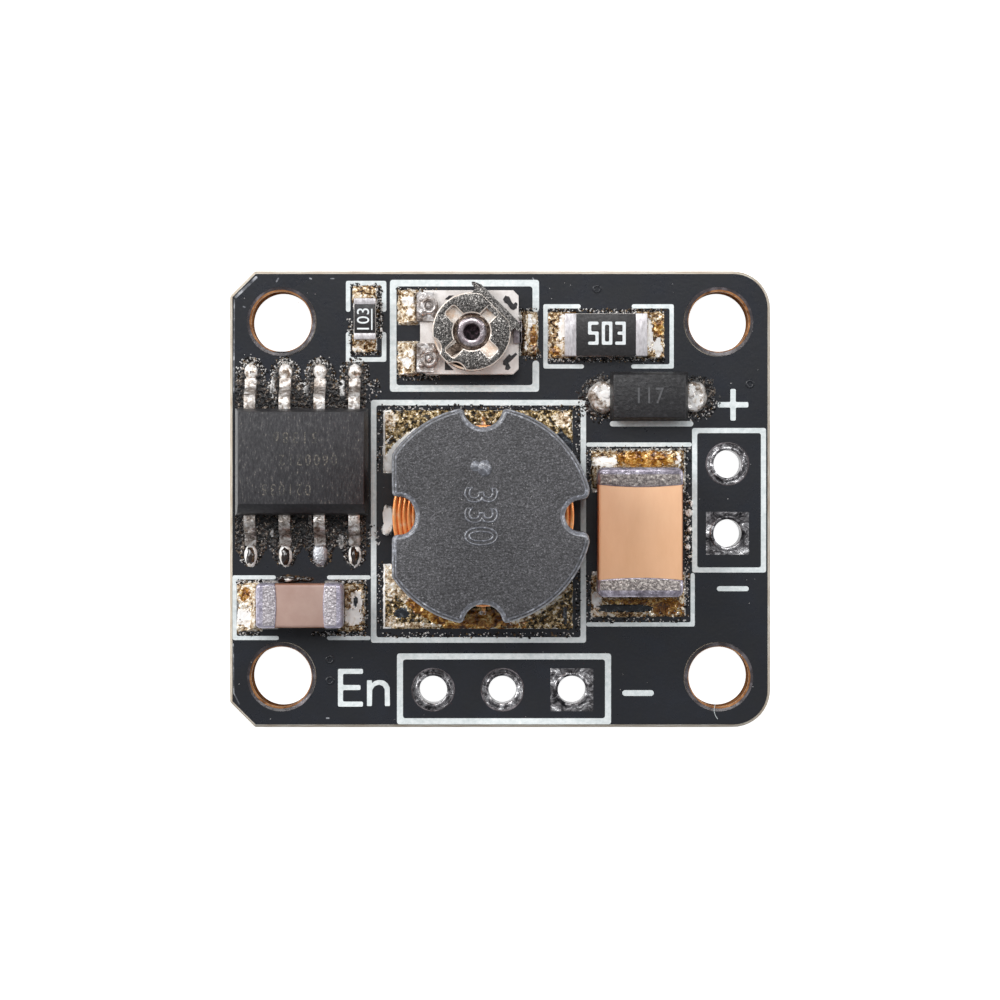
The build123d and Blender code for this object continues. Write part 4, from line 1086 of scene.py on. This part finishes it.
# A darker copy of the brown ceramic for the block's sides: painted shade.
brown_painted_shade = surface(
    "brown_painted_shade", ((0.3, 128, 82, 58), (0.52, 152, 104, 80), (0.72, 178, 134, 112)), 900, 0.42,
    relief=0.1,
)
cup_finish = surface(
    "grainy_cup",
    ((0.34, 84, 78, 76), (0.48, 142, 134, 131), (0.58, 180, 171, 166), (0.68, 250, 244, 234)), 11000,
    0.38, metal=0.5, relief=1.0, relief_scale=10000, fray=0.7,
)
cup_rim = surface(
    "cup_rim", ((0.34, 112, 106, 116), (0.5, 158, 151, 164), (0.66, 214, 208, 220)), 5000, 0.3,
    metal=0.6, relief=0.6, mottle=0.25,
)
lilac_finish = surface(
    "lilac_cup",
    ((0.34, 120, 114, 116), (0.48, 178, 171, 176), (0.58, 214, 208, 212), (0.68, 255, 252, 252)), 11000,
    0.38, metal=0.4, relief=1.0, relief_scale=10000, fray=0.7,
)
lilac_rim = surface(
    "lilac_rim", ((0.3, 140, 134, 150), (0.5, 186, 180, 196), (0.7, 222, 218, 230)), 5000, 0.3,
    metal=0.5, relief=0.6, mottle=0.25,
)
capacitor("output_capacitor", (5.08, -1.2), 90, (4.7, 3.11, 1.9), 0.62, 0.09, 0.26,
          "tan_ceramic", (peach_finish, peach_painted_shade, cup_finish, cup_rim))
capacitor("input_capacitor", (-7.27, -3.87), 0, (3.17, 1.64, 1.5), 0.68, 0.06, 0.17,
          "brown_ceramic", (brown_finish, brown_painted_shade, lilac_finish, lilac_rim))

# Chip solder: glossy fillets that climb each end cap and run out over the land. Amber
# flux set in pools on them, white patches of painted glare stand for the bare solder's shine,
# and one land by the large capacitor shows a clean dark window.
CHIPS = (
    ("output_capacitor", (5.08, -1.2), (1.55, 2.35), 1.0,
     ((1, (3.33, -4.32), (6.75, -2.77)), (2, (3.33, 0.36), (6.75, 1.79)))),
    ("input_capacitor", (-7.27, -3.87), (1.58, 0.82), 0.8,
     ((3, (-9.64, -4.85), (-8.7, -3.07)), (4, (-5.95, -4.85), (-4.94, -3.07)))),
    ("feedback_resistor", (-4.94, 6.59), (0.39, 0.75), 0.3,
     ((5, (-5.42, 7.18), (-4.53, 7.83)), (6, (-5.42, 5.37), (-4.53, 6.02)))),
    ("series_resistor", (3.87, 6.0), (1.51, 0.77), 0.35,
     ((7, (1.76, 5.14), (2.79, 6.87)), (8, (4.98, 5.14), (6.02, 6.87)))),
)
CHIP_PATCHES = (
    (PALE, 3.82, 1.36, 0.44, 0.22), (AMBER, 5.3, 1.47, 1.05, 0.3), (PALE, 6.52, 1.42, 0.1, 0.22),
    (DARK, 4.55, -4.0, 0.95, 0.13), (AMBER, 6.12, -3.95, 0.62, 0.33), (AMBER, 4.9, -3.75, 0.9, 0.12),
    (PALE, 3.52, -3.67, 0.17, 0.3), (CREAM, 3.5, 0.95, 0.1, 0.5), (CREAM, 3.6, -4.15, 0.4, 0.2),
    (AMBER, -9.36, -3.5, 0.2, 0.24), (PALE, -9.38, -4.3, 0.27, 0.34), (CREAM, -9.2, -4.0, 0.7, 1.2),
    (DARK, -5.29, -3.77, 0.08, 0.2), (PALE, -5.37, -4.3, 0.33, 0.32), (PALE, -5.25, -3.75, 0.2, 0.42),
    (PALE, 2.27, 6.3, 0.15, 0.46), (AMBER, 2.01, 5.43, 0.2, 0.17), (CREAM, 2.3, 5.6, 0.3, 0.4),
    (PALE, 5.77, 5.56, 0.18, 0.32), (AMBER, 5.79, 6.27, 0.22, 0.3), (PALE, 5.48, 6.0, 0.12, 0.6),
    (CREAM, -5.2, 7.4, 0.4, 0.16), (CREAM, -5.2, 5.5, 0.2, 0.2),
)
for stem, middle, half, climb, lands in CHIPS:
    shape = bmesh.new()
    for seed, low, high in lands:
        def fillet_height(x, y, low=low, high=high, middle=middle, half=half, climb=climb, seed=seed):
            edge = inside(x, y, low, high) + 0.04 * rough(x, y, 40 + seed, 0.25)
            gap_x = max(0.0, abs(x - middle[0]) - half[0])
            gap_y = max(0.0, abs(y - middle[1]) - half[1])
            gap = (gap_x * gap_x + gap_y * gap_y) ** 0.5
            kind = patch_kind(x, y, CHIP_PATCHES)
            rise = climb * exp(-gap / (0.07 if kind in (PALE, DARK) else 0.13))
            even = 0.3 if kind in (PALE, DARK) else 1.0
            lift = 0.03 + rise + even * (0.03 + 0.05 * min(1.0, climb)) * rough(x, y, 50 + seed, 0.14, 4)
            return min(edge * 1.6 - 0.01, lift)
        sheet_of(shape, low, high, 0.1, fillet_height, 0.04, lambda x, y: patch_kind(x, y, CHIP_PATCHES))
    add_piece(stem + "_fillets", shape, FLUX_KINDS, "solder", stem + "_solder")

# Solder spatter: small drops, painted white as glare, beside the large capacitor and in
# front of the small one, where one sits in a brown smear of flux.
DROPS = (
    (6.93, -0.5, 0.13, 0.13, 0.2), (6.95, -1.1, 0.1, 0.1, 0.2), (6.88, -1.75, 0.09, 0.11, 0.2),
    (7.02, -0.15, 0.07, 0.12, 0.2), (6.87, -1.42, 0.06, 0.08, 0.16), (6.96, -2.1, 0.1, 0.05, 0.14),
    (-7.75, -2.96, 0.16, 0.08, 0.24), (-4.35, 6.2, 0.05, 0.1, 0.14), (6.8, 4.6, 0.07, 0.05, 0.1),
)
shape = bmesh.new()
for number, (x, y, *size) in enumerate(DROPS):
    bead(shape, (x, y), size, 31 + number, 0.4)
add_piece("solder_spatter", shape, (solder_painted_glare,), "solder")
shape = bmesh.new()
bead(shape, (-7.72, -2.92), (0.44, 0.16, 0.14), 4, 0.3)
bead(shape, (-7.1, -2.93), (0.3, 0.1, 0.1), 6, 0.3)
add_piece("flux_smear", shape, (pool_finish,), "solder")

# Chip resistors: a white ceramic slip with metal folded round each end and a black
# glass coat on top, which carries a small white number.
coat_finish = surface(
    "black_glass", ((0.35, 30, 28, 29), (0.6, 44, 42, 43), (0.78, 64, 62, 63)), 6000, 0.35, relief=0.3,
)
band_finish = surface(
    "plated_band", ((0.3, 166, 160, 162), (0.5, 204, 200, 202), (0.7, 236, 232, 234)), 7000, 0.36,
    metal=0.4, relief=0.3, relief_scale=7000, stretch=(1.6, 0.5, 1.0),
)
ceramic_finish = surface(
    "white_ceramic", ((0.35, 214, 206, 200), (0.6, 232, 226, 222)), 2500, 0.5, relief=0.2,
    relief_scale=12000,
)
white_ink = surface(
    "white_ink", ((0.3, 214, 220, 222), (0.7, 240, 243, 243)), 9000, 0.55, relief=0.3,
    relief_scale=12000,
)


def resistor(stem, middle, turned, size, band):
    """The slip, the coat and the two folded ends of one chip resistor."""
    length, width, height = size
    slip, coat, ends = bmesh.new(), bmesh.new(), bmesh.new()
    inner = length / 2 - band
    half = width / 2
    block(slip, (-length / 2 + 0.03, -half, 0.03), (length / 2 - 0.03, half, height - 0.03), 0.015, 2)
    block(coat, (-inner, -half + 0.004, height - 0.06), (inner, half - 0.012, height + 0.012), 0.02)
    for sign in (1, -1):
        low, high = sorted((sign * inner, sign * length / 2))
        block(ends, (low, -half - 0.005, 0.0), (high, half + 0.005, height), 0.035)
    for shape in (slip, coat, ends):
        put(shape, middle, turned, BOARD_TOP)
    add_piece(stem + "_slip", slip, (ceramic_finish,), "white_ceramic", stem + "_chip")
    add_piece(stem + "_glass", coat, (coat_finish,), "black_glass_coat", stem + "_coat")
    add_piece(stem + "_bands", ends, (band_finish,), "tinned_cap", stem + "_end_caps")


resistor("feedback_resistor", (-4.94, 6.59), 90, (1.51, 0.79, 0.45), 0.24)
resistor("series_resistor", (3.87, 6.0), 0, (3.02, 1.55, 0.58), 0.43)
add_text("feedback_number", "103", 0.46, (-5.0, 6.58), BOARD_TOP + 0.468, 90, 0.94, 1.06, white_ink)
shape = bmesh.new()
block(shape, (-4.705, 6.18, BOARD_TOP + 0.45), (-4.655, 6.95, BOARD_TOP + 0.47))
add_piece("feedback_number_line", shape, (white_ink,), "white_print")

DIGIT_TOP = BOARD_TOP + 0.592
DIGIT_STROKE = 0.115
DIGIT_LOW = 5.69
THREE = ((-0.057, -0.057), (0.327, -0.057), (0.327, 0.787), (-0.057, 0.787), (-0.057, 0.672), (0.212, 0.672),
         (0.212, 0.422), (0.03, 0.422), (0.03, 0.308), (0.212, 0.308), (0.212, 0.058), (-0.057, 0.058))
FIVE = ((0.27, 0.73), (0.0, 0.73), (0.0, 0.37), (0.27, 0.37), (0.27, 0.0), (0.0, 0.0))
ZERO_LEFT = ((0.135, 0.0), (0.0, 0.0), (0.0, 0.73), (0.135, 0.73))
ZERO_RIGHT = ((0.135, 0.73), (0.27, 0.73), (0.27, 0.0), (0.135, 0.0))
shape = bmesh.new()
for start, stroke, butted in ((3.27, FIVE, False), (3.77, ZERO_LEFT, True), (3.77, ZERO_RIGHT, True)):
    print_line(shape, [(start + x, DIGIT_LOW + y) for x, y in stroke], DIGIT_STROKE, butted, DIGIT_TOP)
print_shape(shape, [(4.26 + x, DIGIT_LOW + y) for x, y in THREE], 0.04, DIGIT_TOP)
bmesh.ops.remove_doubles(shape, verts=shape.verts, dist=1e-5)
pull(shape, list(shape.faces), (0, 0, 0.012))
add_piece("series_number", shape, (white_ink,), "white_print")

# Diode: a flat black moulding on two tinned tabs, each under a round shining heap of
# solder with brown flux at its foot.
DIODE = (5.44, 3.75)
HEAPS = ((-1, 0.5, 60), (1, 0.42, 61))
HEAP_PATCHES = ((PALE, 3.82, 3.86, 0.2, 0.3), (PALE, 3.98, 3.55, 0.12, 0.16), (PALE, 7.0, 4.0, 0.12, 0.2),
                (PALE, 7.2, 3.6, 0.14, 0.22))
shape = bmesh.new()
moulded(shape, DIODE, 2.86, 1.81, (BOARD_TOP + 0.03, BOARD_TOP + 0.5, BOARD_TOP + 1.0), 0.12, 0.035)
diode_finish = surface(
    "black_moulding", ((0.36, 20, 19, 21), (0.52, 31, 30, 32), (0.66, 50, 49, 51)), 7000, 0.45,
    relief=0.6, relief_scale=11000,
)
add_piece("diode_moulding", shape, (diode_finish,), "black_mould", "diode_body")
dress("diode_terminals", lead_finish)
heaps, crust = bmesh.new(), bmesh.new()
for sign, spread, seed in HEAPS:
    bead(heaps, (DIODE[0] + sign * 1.68, DIODE[1]), (spread + 0.04, 0.6, 0.7), 7 * sign, 0.14, 0.6)
    bead(heaps, (DIODE[0] + sign * 1.58, DIODE[1] + 0.1), (spread * 0.7, 0.3, 0.5), 9 * sign, 0.15, 0.9)
    heap = (DIODE[0] + sign * 1.75, DIODE[1])
    def heap_crust(x, y, heap=heap, seed=seed):
        out = (((x - heap[0]) / 0.82) ** 2 + ((y - heap[1]) / 0.85) ** 2) ** 0.5
        edge = 1 - out + 0.22 * rough(x, y, seed, 0.3)
        return 0.06 * min(1.0, 3 * edge) + 0.05 * rough(x, y, seed + 4, 0.1, 4) - 0.02
    sheet_of(crust, heap, heap, 0.95, heap_crust, 0.04)
# Patches of the heaps are painted white as glare; the rest takes the stained solder.
for face in heaps.faces:
    spot = face.calc_center_median()
    face.material_index = patch_kind(spot.x, spot.y, HEAP_PATCHES)
add_piece("diode_heaps", heaps, (stained_solder, solder_painted_glare), "solder", "diode_solder")
diode_ink = surface(
    "faint_ink", ((0.3, 70, 70, 72), (0.7, 96, 96, 98)), 9000, 0.6, relief=0.3, relief_scale=12000,
)
add_text("diode_number", "117", 0.6, (DIODE[0] + 0.05, DIODE[1] + 0.02), BOARD_TOP + 1.0, 0,
         0.82, 1.1, diode_ink)
add_piece("diode_flux", crust, (crust_finish,), "solder")

# Trimmer base: a white ceramic plate with chipped corners. A black track is printed on
# it, of which only the ends show beside the rotor.
TRIMMER = (-1.03, 6.08)
BASE_TOP = BOARD_TOP + 0.84
TRACK_ENDS = (
    ((1.14, 1.2), (1.22, 1.33), (1.36, 1.3), (1.46, 1.1), (1.52, 1.02), (1.6, 1.1), (1.67, 1.04),
     (1.63, 0.86), (1.52, 0.8), (1.42, 0.84), (1.3, 1.02), (1.2, 1.08)),
    ((1.14, -1.05), (1.36, -0.8), (1.46, -0.86), (1.6, -0.74), (1.66, -0.8), (1.5, -0.98), (1.34, -1.12),
     (1.42, -1.3), (1.34, -1.38), (1.21, -1.36), (1.24, -1.22), (1.14, -1.18)),
    ((-0.98, 1.2), (-0.82, 1.34), (-0.66, 1.34), (-0.86, 1.18)),
    ((-0.98, -1.05), (-0.98, -1.38), (-0.66, -1.38)),
)


def plate(shape, corners, low, high, rounding=0.0):
    """Add an upright-sided plate, its corners rounded by a radius."""
    ring = [shape.verts.new((x, y, low)) for x, y in corners]
    face = shape.faces.new(ring)
    if rounding:
        bmesh.ops.bevel(shape, geom=ring, offset=rounding, segments=8, profile=0.5,
                        affect="VERTICES", material=-1)
        face = list(shape.faces)[-1]
    pull(shape, [face], (0, 0, high - low))


def cut(shape, tools):
    """The shape with every tool taken out of it."""
    made = []
    for form in (shape, *tools):
        bmesh.ops.recalc_face_normals(form, faces=form.faces)
        mesh = bpy.data.meshes.new("tool")
        form.to_mesh(mesh)
        form.free()
        made.append(bpy.data.objects.new("tool", mesh))
        bpy.context.scene.collection.objects.link(made[-1])
    blank = made[0]
    for tool in made[1:]:
        saw = blank.modifiers.new("cut", "BOOLEAN")
        saw.operation = "DIFFERENCE"
        saw.solver = "EXACT"
        saw.object = tool
    result = evaluated(blank)
    for loose in made:
        bpy.data.objects.remove(loose)
    return result


def round_rims(shape, level, size):
    """Round the rims at a level."""
    shape.normal_update()
    soften(shape, rim_edges(shape, level), size, 2, clamp=False)


shape = bmesh.new()
plate(shape, ((-1.88, -1.53), (1.71, -1.53), (1.71, 1.53), (-1.88, 1.53)), BOARD_TOP + 0.12, BASE_TOP)
soften(shape, [e for e in shape.edges if abs(e.verts[0].co.z - e.verts[1].co.z) > 0.1], 0.2, 1)
hole = bmesh.new()
pillar(hole, (0, 0), 0.4, BOARD_TOP - 1.5, BOARD_TOP + 1.5)
shape = cut(shape, [hole])
round_rims(shape, BASE_TOP, 0.03)
put(shape, TRIMMER)
add_piece("trimmer_plate", shape, (ceramic_finish,), "white_ceramic", "trimmer_base")
track_finish = surface(
    "printed_track", ((0.35, 24, 22, 24), (0.65, 48, 44, 46)), 9000, 0.5, relief=0.5,
)
dress("trimmer_track", track_finish)
shape = bmesh.new()
for corners in TRACK_ENDS:
    plate(shape, corners, BASE_TOP, BASE_TOP + 0.012)
put(shape, TRIMMER)
add_piece("trimmer_track_marks", shape, (track_finish,), "black_track")

# Trimmer terminals: nickel sheet folded round the plate's edge. The two on the left are
# under rough grey lumps where the sheet is staked, and all three stand in solder.
LUMPS = (
    (-1.55, 0.96, 0.13, 0.2), (-1.78, 0.72, 0.15, 0.2), (-1.38, 0.68, 0.12, 0.16), (-1.82, 1.2, 0.1, 0.16),
)
TERMINAL_PATCHES = (
    (PALE, -3.35, 7.25, 0.2, 0.18), (PALE, -3.3, 6.85, 0.12, 0.16), (PALE, -3.4, 5.0, 0.16, 0.22),
    (PALE, -3.25, 5.35, 0.12, 0.14), (CREAM, -3.3, 6.08, 0.9, 1.6), (PALE, 1.1, 6.5, 0.08, 0.3),
    (AMBER, 1.22, 5.9, 0.14, 0.5), (PALE, 0.95, 5.6, 0.06, 0.2), (CREAM, 1.2, 6.2, 0.3, 0.7),
)
TERMINAL_LANDS = (
    (-2.0, (-2.72, 0.3), (-1.95, 1.57)), (-2.0, (-2.72, -1.57), (-1.95, -0.3)),
    (1.83, (1.8, -0.82), (2.43, 0.82)),
)
sheet_finish = surface(
    "nickel_sheet", ((0.1, 28, 26, 25), (0.4, 70, 68, 66), (0.65, 104, 101, 98), (0.95, 206, 201, 196)),
    30000, 0.34, metal=0.6, relief=0.5, relief_scale=16000, cells=True, mottle=0.16,
)
stained_tin = surface(
    "stained_tin",
    ((0.34, 72, 58, 50), (0.43, 146, 134, 126), (0.52, 190, 182, 178), (0.62, 242, 238, 236)), 3000,
    0.28, metal=0.5, relief=0.8, relief_scale=4200, warp=0.6, mottle=0.2, fray=0.66,
)
dress("trimmer_end_terminals", stained_tin)
shape = bmesh.new()
for sign in (1, -1):
    turn_round(shape, 0.24, BASE_TOP + 0.16, 0.09, 0.1, 10, (-1.55, sign * 0.96), 32)
    for number, (dx, dy, size, lift) in enumerate(LUMPS):
        made = bmesh.ops.create_icosphere(shape, subdivisions=4, radius=1.0)["verts"]
        for vert in made:
            swell = 1 + 0.22 * noise.fractal(vert.co * 1.6 + Vector((sign * 3 + number, 2, 0)), 1.0, 2.0, 3)
            x, y, z = vert.co * swell
            vert.co = (dx + x * size, sign * dy + y * size, BASE_TOP + 0.1 + max(-0.1, z * lift))
put(shape, TRIMMER)
add_piece("trimmer_terminal_lumps", shape, (stained_tin,), "tinned_lead")
# White patches on the terminal fillets are painted glare.
shape = bmesh.new()
for seed, (wall_x, low, high) in enumerate(TERMINAL_LANDS):
    low, high = Vector(TRIMMER) + Vector(low), Vector(TRIMMER) + Vector(high)
    def terminal_height(x, y, low=low, high=high, wall=TRIMMER[0] + wall_x, seed=seed):
        edge = inside(x, y, low, high) + 0.06 * rough(x, y, 70 + seed, 0.25)
        rise = 0.62 * exp(-abs(x - wall) / 0.3)
        return min(edge * 3 - 0.01, 0.05 + rise + 0.09 * rough(x, y, 80 + seed, 0.16, 4))
    sheet_of(shape, low, high, 0.1, terminal_height, 0.04, lambda x, y: patch_kind(x, y, TERMINAL_PATCHES))
add_piece("trimmer_fillets", shape, FLUX_KINDS, "solder", "trimmer_solder")

# Eyelet and middle terminal: one drawn nickel piece. Its tube stands up through plate
# and rotor, and its rim is rolled over to hold the rotor down.
TERMINAL_HALF = 0.41
TERMINAL_END = 1.83
EYELET_PROFILE = (
    (0.29, 0.02), (0.29, 1.16), (0.32, 1.21), (0.4, 1.235), (0.5, 1.21), (0.55, 1.17), (0.55, 1.14),
    (0.4, 1.13), (0.4, 0.12), (0.55, 0.12), (0.55, 0.02),
)
shape = bmesh.new()
turn(shape, EYELET_PROFILE)
for start, low, high, edge in ((0.5, 0.02, 0.12, 0.02), (1.71, 0.02, 0.96, 0.03), (1.51, 0.84, 0.96, 0.03)):
    block(shape, (start, -TERMINAL_HALF, low), (TERMINAL_END, TERMINAL_HALF, high), edge, 2)
put(shape, TRIMMER, level=BOARD_TOP)
eyelet_finish = surface(
    "bright_nickel", ((0.34, 112, 100, 104), (0.5, 174, 162, 166), (0.66, 226, 218, 222)), 4200, 0.3,
    metal=0.8, relief=0.3, relief_scale=5000,
)
add_piece("trimmer_eyelet", shape, (eyelet_finish,), "nickel_sheet", "trimmer_wiper_terminal")
hollow_finish = surface(
    "dark_hollow", ((0.36, 12, 8, 10), (0.5, 34, 24, 30), (0.64, 92, 72, 82)), 7000, 0.6, relief=0.6,
    relief_scale=6000, specular=0.2,
)
shape = bmesh.new()
pillar(shape, TRIMMER, 0.285, BOARD_TOP + 0.05, BOARD_TOP + 0.75, 32)
add_piece("trimmer_eyelet_shadow", shape, (hollow_finish,), "black_track")

# Rotor: one nickel sheet, folded double at its upper right. The upper half is a disc
# with a cross slot, and the lower half reaches under it to two springy wiper feet.
ROTOR_TOP = BOARD_TOP + 1.44
ROTOR_LOW = BOARD_TOP + 1.0
SHEET = 0.12
FOLD_TURN = 45
CUT_LOW, CUT_TOP = ROTOR_TOP - 1, ROTOR_TOP + 1
TAB = ((1.2, 0.98), (1.44, 0.98), (1.36, 1.2), (1.28, 1.28), (1.22, 1.2))


def bent_bar(inner, outer, start, end, steps):
    """Corners of a bent bar between two radii and two bearings in degrees."""
    return [*arc((0, 0), inner, start, end, steps), *arc((0, 0), outer, end, start, steps)]


disc = bmesh.new()
pillar(disc, (0, 0), 1.43, ROTOR_TOP - SHEET, ROTOR_TOP, 96)
tools = [bmesh.new() for _ in range(6)]
plate(tools[0], ((1.25, -3), (3, -3), (3, 3), (1.25, 3)), CUT_LOW, CUT_TOP)
plate(tools[1], ((-1.15, -0.22), (1.15, -0.22), (1.15, 0.22), (-1.15, 0.22)), CUT_LOW, CUT_TOP, 0.1)
plate(tools[2], ((-0.22, -1.15), (0.22, -1.15), (0.22, 1.15), (-0.22, 1.15)), CUT_LOW, CUT_TOP, 0.1)
pillar(tools[3], (0, 0), 0.68, CUT_LOW, CUT_TOP, 64)
for tool, bearing in zip(tools[4:], (radians(157), radians(203))):
    pillar(tool, (1.66 * cos(bearing), 1.66 * sin(bearing)), 0.42, CUT_LOW, CUT_TOP)
disc = cut(disc, tools)
round_rims(disc, ROTOR_TOP, 0.045)
# The disc's rounded rims take a lighter finish: a painted highlight.
disc.normal_update()
for face in disc.faces:
    if 0.2 < face.normal.z < 0.97 and face.calc_center_median().z > ROTOR_TOP - 0.06:
        face.material_index = 1
folded = bmesh.new()
plate(folded, ((1.0, -1.0), (1.27, -1.0), (1.27, 1.0), (1.0, 1.0)), ROTOR_TOP - SHEET, ROTOR_TOP - 0.005)
section = [(1.25 + x, (ROTOR_TOP + ROTOR_LOW) / 2 + z) for x, z in bent_bar(0.215, 0.1, -90, 90, 12)]
pull(folded, [folded.faces.new([folded.verts.new((x, -1.0, z)) for x, z in section])], (0, 2.0, 0))
plate(folded, TAB, ROTOR_TOP - SHEET, ROTOR_TOP - 0.01)
plate(folded, [(x, -y) for x, y in TAB[::-1]], ROTOR_TOP - SHEET, ROTOR_TOP - 0.01)
bmesh.ops.recalc_face_normals(folded, faces=folded.faces)
take_in(disc, folded)
put(disc, TRIMMER, FOLD_TURN)
rotor_rim_highlight = surface(
    "rotor_rim_painted_highlight", ((0.3, 206, 190, 176), (0.6, 240, 230, 220), (0.8, 252, 248, 242)), 6000, 0.3,
    metal=0.4, relief=0.3, relief_scale=7000,
)
add_piece("trimmer_rotor_disc", disc, (sheet_finish, rotor_rim_highlight), "nickel_sheet", "trimmer_rotor",
          body="rotor", sharp=35)

# Rotor's lower half: a ring on the eyelet, a web under the cross slot, a bent copper strip
# in one arm and two springy feet that press on the track. The web and the feet are painted
# near white as a highlight.
RING_PROFILE = ((0.42, 0.04), (0.42, 0.18), (0.6, 0.17), (0.63, 0.2), (0.7, 0.19), (0.72, 0.04))
WEB_PROFILE = ((0.68, 0.02), (0.68, 0.22), (1.2, 0.28), (1.24, 0.02))
STRIP = ((-1.2, -0.1), (-0.66, -0.24), (-0.66, 0.12), (-1.2, 0.2))
ring, web, strip = bmesh.new(), bmesh.new(), bmesh.new()
turn(ring, RING_PROFILE, steps=64)
turn(web, WEB_PROFILE, steps=64)
for start, end in ((146, 176), (184, 214)):
    for inner, outer, low, high in ((1.18, 1.24, 0.0, 0.2), (1.33, 1.4, 0.02, 0.24)):
        plate(web, bent_bar(inner, outer, start, end, 15), low, high)
plate(strip, STRIP, 0.24, 0.31)
wiper_finish = surface(
    "stained_nickel", ((0.34, 44, 34, 30), (0.5, 100, 84, 72), (0.66, 178, 160, 146)), 5000, 0.28,
    metal=0.7, relief=0.4, relief_scale=7000, mottle=0.25,
)
web_highlight_finish = surface(
    "web_painted_highlight", ((0.36, 228, 198, 172), (0.5, 250, 238, 226), (0.64, 255, 252, 248)), 1600, 0.3,
    metal=0.1, relief=0.4, relief_scale=7000, mottle=0.2,
)
for tail, shape, finish in (("ring", ring, wiper_finish), ("web", web, web_highlight_finish),
                            ("strip", strip, wiper_finish)):
    put(shape, TRIMMER, FOLD_TURN, ROTOR_LOW)
    add_piece("trimmer_rotor_" + tail, shape, (finish,), "nickel_sheet", body="rotor")
